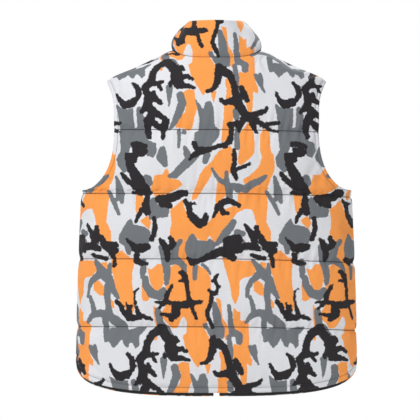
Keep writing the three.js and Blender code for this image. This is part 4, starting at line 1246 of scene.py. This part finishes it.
def collarPiece(name, angles, sign, body, replaced, openSides):
    rises = np.linspace(0, 1, collarCloth["lines"] + 1)
    angle, rise = np.meshgrid(angles, rises)
    if sign > 0 and angles[-1] > 2:
        # The front ends are cut straight beside the zip.
        reach = mix(neck["width"], collar["topWidth"], rise) / 2
        last = math.pi - np.arcsin(zipEdge / reach)
        angle = mix(angles[0], last, (angle - angles[0]) / (angles[-1] - angles[0]))
    mirror = np.where(angle < 0, -1, 1)[..., None] * [1, 0, 0] + np.array([0, 1, 1])
    point = collarPoints(np.abs(angle), rise) * mirror
    step = 0.004
    along = collarPoints(np.abs(angle) + step, rise) - collarPoints(np.abs(angle) - step, rise)
    up = collarPoints(np.abs(angle), rise + step) - collarPoints(np.abs(angle), rise - step)
    normal = np.cross(up, along)
    normal /= np.linalg.norm(normal, axis=-1, keepdims=True)
    normal *= mirror
    outward = point - [0, garment["forward"] + 20, 0]
    normal *= np.where((normal * outward)[..., :2].sum(-1) < 0, -1, 1)[..., None]
    turn = np.linspace(0, math.pi, 400)
    turns, turnRises = np.meshgrid(turn, rises)
    path = collarPoints(turns, turnRises)
    reach = np.concatenate([np.zeros((len(rises), 1)),
                            np.cumsum(np.linalg.norm(np.diff(path, axis=1), axis=-1), axis=1)], 1)
    flatTo = math.asin(0.9)
    u = np.empty(angle.shape)
    for j in range(len(rises)):
        flat = np.interp(flatTo, turn, reach[j])
        beyond = np.interp(np.abs(angle[j]), turn, reach[j]) - flat
        across = np.where(np.abs(angle[j]) < flatTo, np.abs(point[j, :, 0]),
                          np.interp(flatTo, turn, path[j, :, 0]) + beyond)
        u[j] = np.sign(angle[j]) * across
    v = np.broadcast_to(rises[:, None] * collar["backHeight"], angle.shape)
    low, high = v, collar["backHeight"] - v
    ends = np.minimum(distanceTo(point, point[:, 0]) if 3 not in openSides else 1e3,
                      distanceTo(point, point[:, -1]) if 1 not in openSides else 1e3)
    rim = np.minimum(np.minimum(low, high), ends)
    folds, creases = ripple(u, v, 7, collarCloth["foldWave"]), ripple(u, v, 8, collarCloth["creaseWave"])
    lift = (collarCloth["puff"] * ease(rim / collarCloth["puffReach"])
            - collarCloth["sewn"] * np.exp(-(low / collarCloth["sewnReach"])**2))
    lift += collarCloth["fold"] * folds * ease(np.minimum(low, high) / collarCloth["foldReach"])
    lift += collarCloth["crease"] * creases * np.exp(-np.abs(low - 5) / collarCloth["creaseReach"])
    lift -= collarCloth["edgeDrop"] * np.exp(-(high / collarCloth["edgeReach"])**2)
    outer = point + normal * lift[..., None]
    deep = mix(collarCloth["edgeThick"], collarCloth["thick"], ease((rim - 2) / 15))
    inner = point - normal * deep[..., None]
    flip = np.array([sign, 1, 1])
    outer, inner, normal, u = outer * flip, inner * flip, normal * flip, u * sign
    endRoll = {end: 0.0 if end in openSides else collarCloth["endRoll"] for end in (1, 3)}
    bulge = {0: 0.0, 2: collarCloth["roll"], **endRoll}
    # The collar's colour darkens in a painted shade along its sewn base, by its distance from the bottom
    # edge.
    piece = closePanel(name, outer, inner, u, v, shellAndLining, bulge, sharp=openSides,
                       seamAway=low * quilt["joinShade"])
    if body == "root":
        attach(piece, "root")
    else:
        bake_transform(piece)
    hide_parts(*replaced)


quarter = collarCloth["perQuarter"]
collarPiece("collar_back", np.linspace(-math.pi / 2, math.pi / 2, 2 * quarter + 1), 1, "root",
            [f"collar_back_{part}" for part in padParts], (1, 3))
for sideName, sign in (("right", 1), ("left", -1)):
    collarPiece(f"{sideName}_collar", np.linspace(math.pi / 2, math.pi - 0.07, quarter + 17), sign,
                f"{sideName}_front", [f"{sideName}_collar_{part}" for part in padParts], (3,))
print("collar made")


# Small hard parts.

def softBlock(name, low, high, radius, material, body, replaced):
    # A cast block with its edges rounded.
    work = bmesh.new()
    bmesh.ops.create_cube(work, size=1)
    for vertex in work.verts:
        vertex.co = [mix(a, b, c + 0.5) / 1000 for a, b, c in zip(low, high, vertex.co)]
    bmesh.ops.bevel(work, geom=work.edges[:], offset=radius / 1000, segments=3, profile=0.5, affect="EDGES")
    mesh = bpy.data.meshes.new(name)
    work.to_mesh(mesh)
    work.free()
    mesh.materials.append(material)
    mesh.polygons.foreach_set("use_smooth", np.ones(len(mesh.polygons), bool))
    piece = bpy.data.objects.new(name, mesh)
    scene.collection.objects.link(piece)
    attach(piece, body)
    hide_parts(replaced)


def stackedRings(rings):
    # Closed skin over rings of equal count, with a face at each end.
    count = len(rings[0])
    points = np.vstack(rings)
    faces = []
    for k in range(len(rings) - 1):
        for i in range(count):
            n = (i + 1) % count
            faces.append((k * count + i, k * count + n, (k + 1) * count + n, (k + 1) * count + i))
    faces.append(tuple(range(count - 1, -1, -1)))
    faces.append(tuple((len(rings) - 1) * count + i for i in range(count)))
    return points, facesOutward(points, faces)


def addSkin(name, rings, material, body, replaced):
    points, faces = stackedRings(rings)
    piece = addMesh(name, points, faces, [material])
    piece.data.polygons[-1].use_smooth = piece.data.polygons[-2].use_smooth = False
    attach(piece, body)
    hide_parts(replaced)


def roundedOutline(halfWide, halfTall, power, count=40, taper=0.0):
    # A soft rectangle, narrower towards the bottom by taper.
    a = np.linspace(0, 2 * math.pi, count, endpoint=False)
    x = np.sign(np.cos(a)) * np.abs(np.cos(a))**(2 / power) * halfWide
    z = np.sign(np.sin(a)) * np.abs(np.sin(a))**(2 / power) * halfTall
    return np.stack([x * (1 - taper * (0.5 - z / halfTall / 2)), z], -1)


def plateRings(outline, centre, levels):
    # levels are (share of the outline, y) from behind to the front.
    cx, cz = centre
    return [np.stack([cx + outline[:, 0] * s, np.full(len(outline), y), cz + outline[:, 1] * s], -1)
            for s, y in levels]


# The zip.

zipper = {
    "pitch": 3.2, "toothWide": 4.2, "toothThick": 3.0, "toothTall": 1.7, "heads": 0.9, "plane": 134.5,
    "stopRound": 0.35, "boxRound": 0.7, "pinRound": 0.4,
}
slider = {"halfWide": 5.4, "halfTall": 4.5, "taper": 0.22, "plate": 1.5, "bridge": (0.21, 0.8)}
bail = {"halfWide": 1.25, "halfThick": 0.62, "stations": 17}
pullTab = {"halfWide": 3.4, "taper": -0.16}
draftFlap = {"thick": 1.0, "wave": 0.16, "waveLength": 60, "lift": 0.2}


def corners(node):
    return [np.array(corner) * 1000 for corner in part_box(node)]


for sideName, sign in (("right", 1), ("left", -1)):
    body = f"{sideName}_front"
    low, high = corners(f"{sideName}_zip_teeth")
    middle = sign * (zipper["toothWide"] / 2 - zipper["heads"])
    start = high[2] - 0.5 - (0 if sign > 0 else zipper["pitch"] / 2)
    path = [(middle, zipper["plane"], start), (middle, zipper["plane"], low[2] + 1)]
    row = followPaths(f"{sideName}_zip_teeth_row", [path], teeth, {
        "Pitch": zipper["pitch"] / 1000, "Width": zipper["toothWide"] / 1000,
        "Thickness": zipper["toothThick"] / 1000, "Height": zipper["toothTall"] / 1000, "Side": float(sign),
        "Material": mouldedResin})
    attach(row, body)
    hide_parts(f"{sideName}_zip_teeth")
    tapeNode = nodes[f"{sideName}_zip_tape"]
    tapeNode.data.materials.clear()
    tapeNode.data.materials.append(zipTape)
    low, high = corners(f"{sideName}_top_stop")
    softBlock(f"{sideName}_stop", low, high, zipper["stopRound"], paintedZinc, body,
              f"{sideName}_top_stop")
for part in ("box", "pin"):
    low, high = corners("zip_" + part)
    softBlock(part, low, high, zipper[part + "Round"], paintedZinc, bodyOf("zip_" + part), "zip_" + part)

low, high = corners("zip_slider")
centre = (0, (low[2] + high[2]) / 2)
shield = roundedOutline(slider["halfWide"], slider["halfTall"], 3.2, taper=slider["taper"])
behind, before = low[1] + slider["plate"], high[1] - slider["plate"]
# Two plates, and the narrow bridge that parts the rows of teeth.
sliderRings = plateRings(shield, centre, [
    (0.9, low[1]), (1.0, low[1] + 0.4), (1.0, low[1] + 1.2), (0.96, behind)])
sliderRings += plateRings(shield * slider["bridge"], centre, [(1.0, behind), (1.0, before)])
sliderRings += plateRings(shield, centre, [
    (0.96, before), (1.0, high[1] - 1.2), (1.0, high[1] - 0.5), (0.9, high[1]), (0.7, high[1] + 0.1)])
addSkin("slider_body", sliderRings, paintedZinc, bodyOf("zip_slider"), "zip_slider")
low, high = corners("slider_bail")
turn = np.linspace(0, 2 * math.pi, 14, endpoint=False)
wide, thick = bail["halfWide"] * np.cos(turn), bail["halfThick"] * np.sin(turn)
arch = []
for a in np.linspace(0, math.pi, bail["stations"]):
    y = low[1] + (high[1] - low[1] - 0.7) * math.sin(a)**0.6
    z = (low[2] + high[2]) / 2 - (high[2] - low[2] - 1.2) / 2 * math.cos(a)
    arch.append(np.stack([wide, y + math.sin(a) * thick, z - math.cos(a) * thick], -1))
addSkin("bail", arch, paintedZinc, bodyOf("slider_bail"), "slider_bail")
low, high = corners("zip_pull")
tab = roundedOutline(pullTab["halfWide"], (high[2] - low[2]) / 2, 4.5, count=56, taper=pullTab["taper"])
middle = (low[1] + high[1]) / 2
halfThick = (high[1] - low[1]) / 2
# A raised rim round a sunk middle, the same on both faces.
tabFace = [(0.6, 0.45), (0.72, 0.5), (0.8, 1), (0.95, 1), (1.0, 0.5)]
levels = [(share, middle - halfThick * y) for share, y in tabFace]
levels += [(share, middle + halfThick * y) for share, y in reversed(tabFace)]
pullRings = plateRings(tab, (0, (low[2] + high[2]) / 2), levels)
addSkin("pull_tab", pullRings, paintedZinc, bodyOf("zip_pull"), "zip_pull")


def thinSheet(name, outer, normal, thick, u, v, materials, body, replaced,
              edge=0.35):
    inner = outer - normal * thick
    piece = closePanel(name, outer, inner, u, v, materials, {0: edge, 1: edge, 2: edge, 3: edge})
    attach(piece, body)
    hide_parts(replaced)


def borderPath(outer, normal, insetColumns, insetLines, lift=stitchSize["lift"], openTop=True):
    grid = outer + normal * lift
    a, b = insetColumns, insetLines
    path = [grid[j, a] for j in range(grid.shape[0] - 1 if openTop else grid.shape[0] - 1 - b, b, -1)]
    path += [grid[b, i] for i in range(a, grid.shape[1] - a)]
    path += [grid[j, -1 - a] for j in range(b + 1, grid.shape[0] if openTop else grid.shape[0] - b)]
    if not openTop:
        path += [grid[-1 - b, i] for i in range(grid.shape[1] - 1 - a, a - 1, -1)]
    return np.array(path)


low, high = corners("draft_flap")
x, z = np.meshgrid(np.linspace(low[0], high[0], 18), np.linspace(low[2], high[2], 206))
wave = draftFlap["wave"] * ripple(z, x, 31, draftFlap["waveLength"])
outer = np.stack([x, high[1] - draftFlap["lift"] + wave, z], -1)
outward = np.broadcast_to(np.array([0.0, 1, 0]), outer.shape)
thinSheet("zip_flap", outer, outward, draftFlap["thick"], x, z, [liningTaffeta] * 2, bodyOf("draft_flap"),
          "draft_flap")
seams = [outer[2:-2, column] + [0, draftFlap["lift"], 0] for column in (15, 2)]
sewn = sewStitches("zip_flap_stitches", seams, paleThread)
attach(sewn, bodyOf("draft_flap"))
print("zip made")


# Pockets, flaps and snaps.

def frontCloth(x, z, lift, sign):
    point, normal = onBody(x, z, 1)
    u, v = clothAt(x, z, 1)
    flip = np.array([sign, 1, 1])
    return (point + normal * lift[..., None]) * flip, normal * flip, u * sign, v


def lathe(name, profile, centre, axis, material, body, replaced, turns=44):
    axis = axis / np.linalg.norm(axis)
    side = np.cross(axis, [0, 0, 1.0])
    side /= np.linalg.norm(side)
    up = np.cross(side, axis)
    a = np.linspace(0, 2 * math.pi, turns, endpoint=False)
    spokes = np.cos(a)[:, None] * side + np.sin(a)[:, None] * up
    rings = [centre + axis * h + r * spokes for r, h in profile]
    addSkin(name, rings, material, body, replaced)


for sideName, sign in (("right", 1), ("left", -1)):
    xs = np.linspace(pocket["from"], pocket["to"], 56)
    zs = np.linspace(pocket["bottom"], pocket["top"], 66)
    x, z = np.meshgrid(xs, zs)
    inset = np.minimum(np.minimum(x - pocket["from"], pocket["to"] - x), z - pocket["bottom"])
    besideStitch = inset - pocket["stitchInset"]
    besideHem = pocket["top"] - z - pocket["mouthHem"]
    lift = mix(pocket["seat"], pocket["depth"], ease(inset / pocket["edgeRoll"])**0.8)
    lift -= pocket["stitchDepth"] * np.exp(-(besideStitch / pocket["stitchReach"])**2)
    lift += pocket["sag"] * ripple(x, z, 51 + sign, pocket["sagWave"]) * ease(inset / 30)
    lift -= pocket["hemDepth"] * np.exp(-(besideHem / pocket["hemReach"])**2) * ease(inset / 14)
    outer, normal, u, v = frontCloth(x, z, lift + pocket["cloth"], sign)
    thinSheet(f"{sideName}_patch_pocket", outer, normal, pocket["cloth"],
              u + pocket["printShift"][0], v + pocket["printShift"][1], shellAndLining,
              bodyOf(f"{sideName}_pocket"), f"{sideName}_pocket")
    hemLine = np.argmin(np.abs(zs - pocket["top"] + pocket["mouthHem"]))
    sewn = sewStitches(f"{sideName}_pocket_stitches", [
        borderPath(outer, normal, 1, 1), borderPath(outer, normal, 2, 2),
        (outer + normal * stitchSize["lift"])[hemLine, 3:-3]], darkThread)
    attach(sewn, bodyOf(f"{sideName}_pocket"))

    xs = np.linspace(pocket["from"] - flap["overhang"], pocket["to"] + flap["overhang"], 58)
    top = pocket["top"] + flap["rise"]
    zs = np.linspace(top - flap["length"], top, 34)
    x, z = np.meshgrid(xs, zs)
    down = top - z
    # The free corners are rounded.
    centre, fullHalf = (xs[0] + xs[-1]) / 2, (xs[-1] - xs[0]) / 2
    cut = np.maximum(flap["corner"] - (z - zs[0]), 0)
    halfHere = fullHalf - flap["corner"] + np.sqrt(flap["corner"]**2 - cut**2)
    x = centre + (x - centre) * halfHere / fullHalf
    inset = np.minimum(halfHere - np.abs(x - centre), z - zs[0])
    besideStitch = inset - flap["stitchInset"]
    lift = mix(flap["seat"], flap["lift"], ease(down / flap["knee"]))
    lift = lift + flap["sag"] * ripple(x, z, 61 + sign, flap["sagWave"]) * ease(down / 20) * ease(inset / 12)
    lift -= flap["stitchDepth"] * np.exp(-(besideStitch / flap["stitchReach"])**2) * ease(down / 12)
    outer, normal, u, v = frontCloth(x, z, lift + flap["cloth"], sign)
    body = bodyOf(f"{sideName}_pocket_flap")
    thinSheet(f"{sideName}_flap_cloth", outer, normal, flap["cloth"],
              u + flap["printShift"][0], v + flap["printShift"][1], shellAndLining,
              body, f"{sideName}_pocket_flap")
    sewn = sewStitches(f"{sideName}_flap_stitches", [
        borderPath(outer, normal, 2, 2), (outer + normal * stitchSize["lift"])[-3, 2:-2]], darkThread)
    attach(sewn, body)

    for part, (radius, height, dome) in snaps.items():
        node = f"{sideName}_snap_{part}"
        low, high = corners(node)
        centre = (low + high) / 2
        _, facing = onBody(np.array(abs(centre[0])), np.array(centre[2]), 1)
        facing = facing * [sign, 1, 1]
        h = height / 2
        # From the middle of the back, round the rolled rim, into the dish and up to the dome.
        shares = [(0.9, -1), (1, -0.5), (1, 0.25), (0.93, 0.8), (0.8, 1), (0.66, 0.55), (0.6, 0.5),
                  (0.35, 0.9)]
        profile = [(0.3, -h)] + [(radius * r, h * y) for r, y in shares] + [(0.3, h * (1 + dome * 0.4))]
        lathe(node + "_turned", profile, centre, facing, enamelledBrass, bodyOf(node), node)
print("pockets, flaps and snaps made")


# Hang loop and blank label inside the neck.

low, high = corners("hang_loop")
hangLoop = {"strap": 5.0, "thick": 1.7, "stations": 49}
wide, tall = (high[0] - low[0]) / 2 - hangLoop["strap"] / 2, high[2] - hangLoop["strap"] / 2
loopY, loopBase = (low[1] + high[1]) / 2, low[2]


def loopPoint(a):
    rise = math.sin(min(a, math.pi))**0.6
    return np.array([-wide * math.cos(a), loopY, loopBase + tall * rise])


rings = []
for a in np.linspace(0, math.pi, hangLoop["stations"]):
    centre, ahead = loopPoint(a), loopPoint(a + 0.01)
    if a > math.pi - 0.02:
        ahead = centre + [0, 0, -1]
    run = (ahead - centre) / np.linalg.norm(ahead - centre)
    across = np.array([run[2], 0, -run[0]])
    section = roundedOutline(hangLoop["strap"] / 2, hangLoop["thick"] / 2, 5, count=20)
    rings.append(centre + section[:, :1] * across + section[:, 1:] * np.array([0, 1.0, 0]))
addSkin("neck_hanger", rings, strapTape, bodyOf("hang_loop"), "hang_loop")

label = {"thick": 0.5, "edge": 0.1, "stitchInset": 2.5}
low, high = corners("neck_label")
x, z = np.meshgrid(np.linspace(low[0], high[0], 30), np.linspace(low[2], high[2], 18))
inset = np.minimum(np.minimum(x - low[0], high[0] - x), np.minimum(z - low[2], high[2] - z))
bow = 0.2 * ease(inset / 5) - 0.15 * np.exp(-((inset - label["stitchInset"]) / 0.8)**2)
outer = np.stack([x, high[1] - 0.25 + bow, z], -1)
outward = np.broadcast_to(np.array([0.0, 1, 0]), outer.shape)
thinSheet("blank_label", outer, outward, label["thick"], x, z, [labelSatin] * 2, bodyOf("neck_label"),
          "neck_label",
          edge=label["edge"])
sewn = sewStitches("label_stitches", [borderPath(outer, outward, 2, 2, 0.1, openTop=False)], paleThread)
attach(sewn, bodyOf("neck_label"))
print("loop and label made")
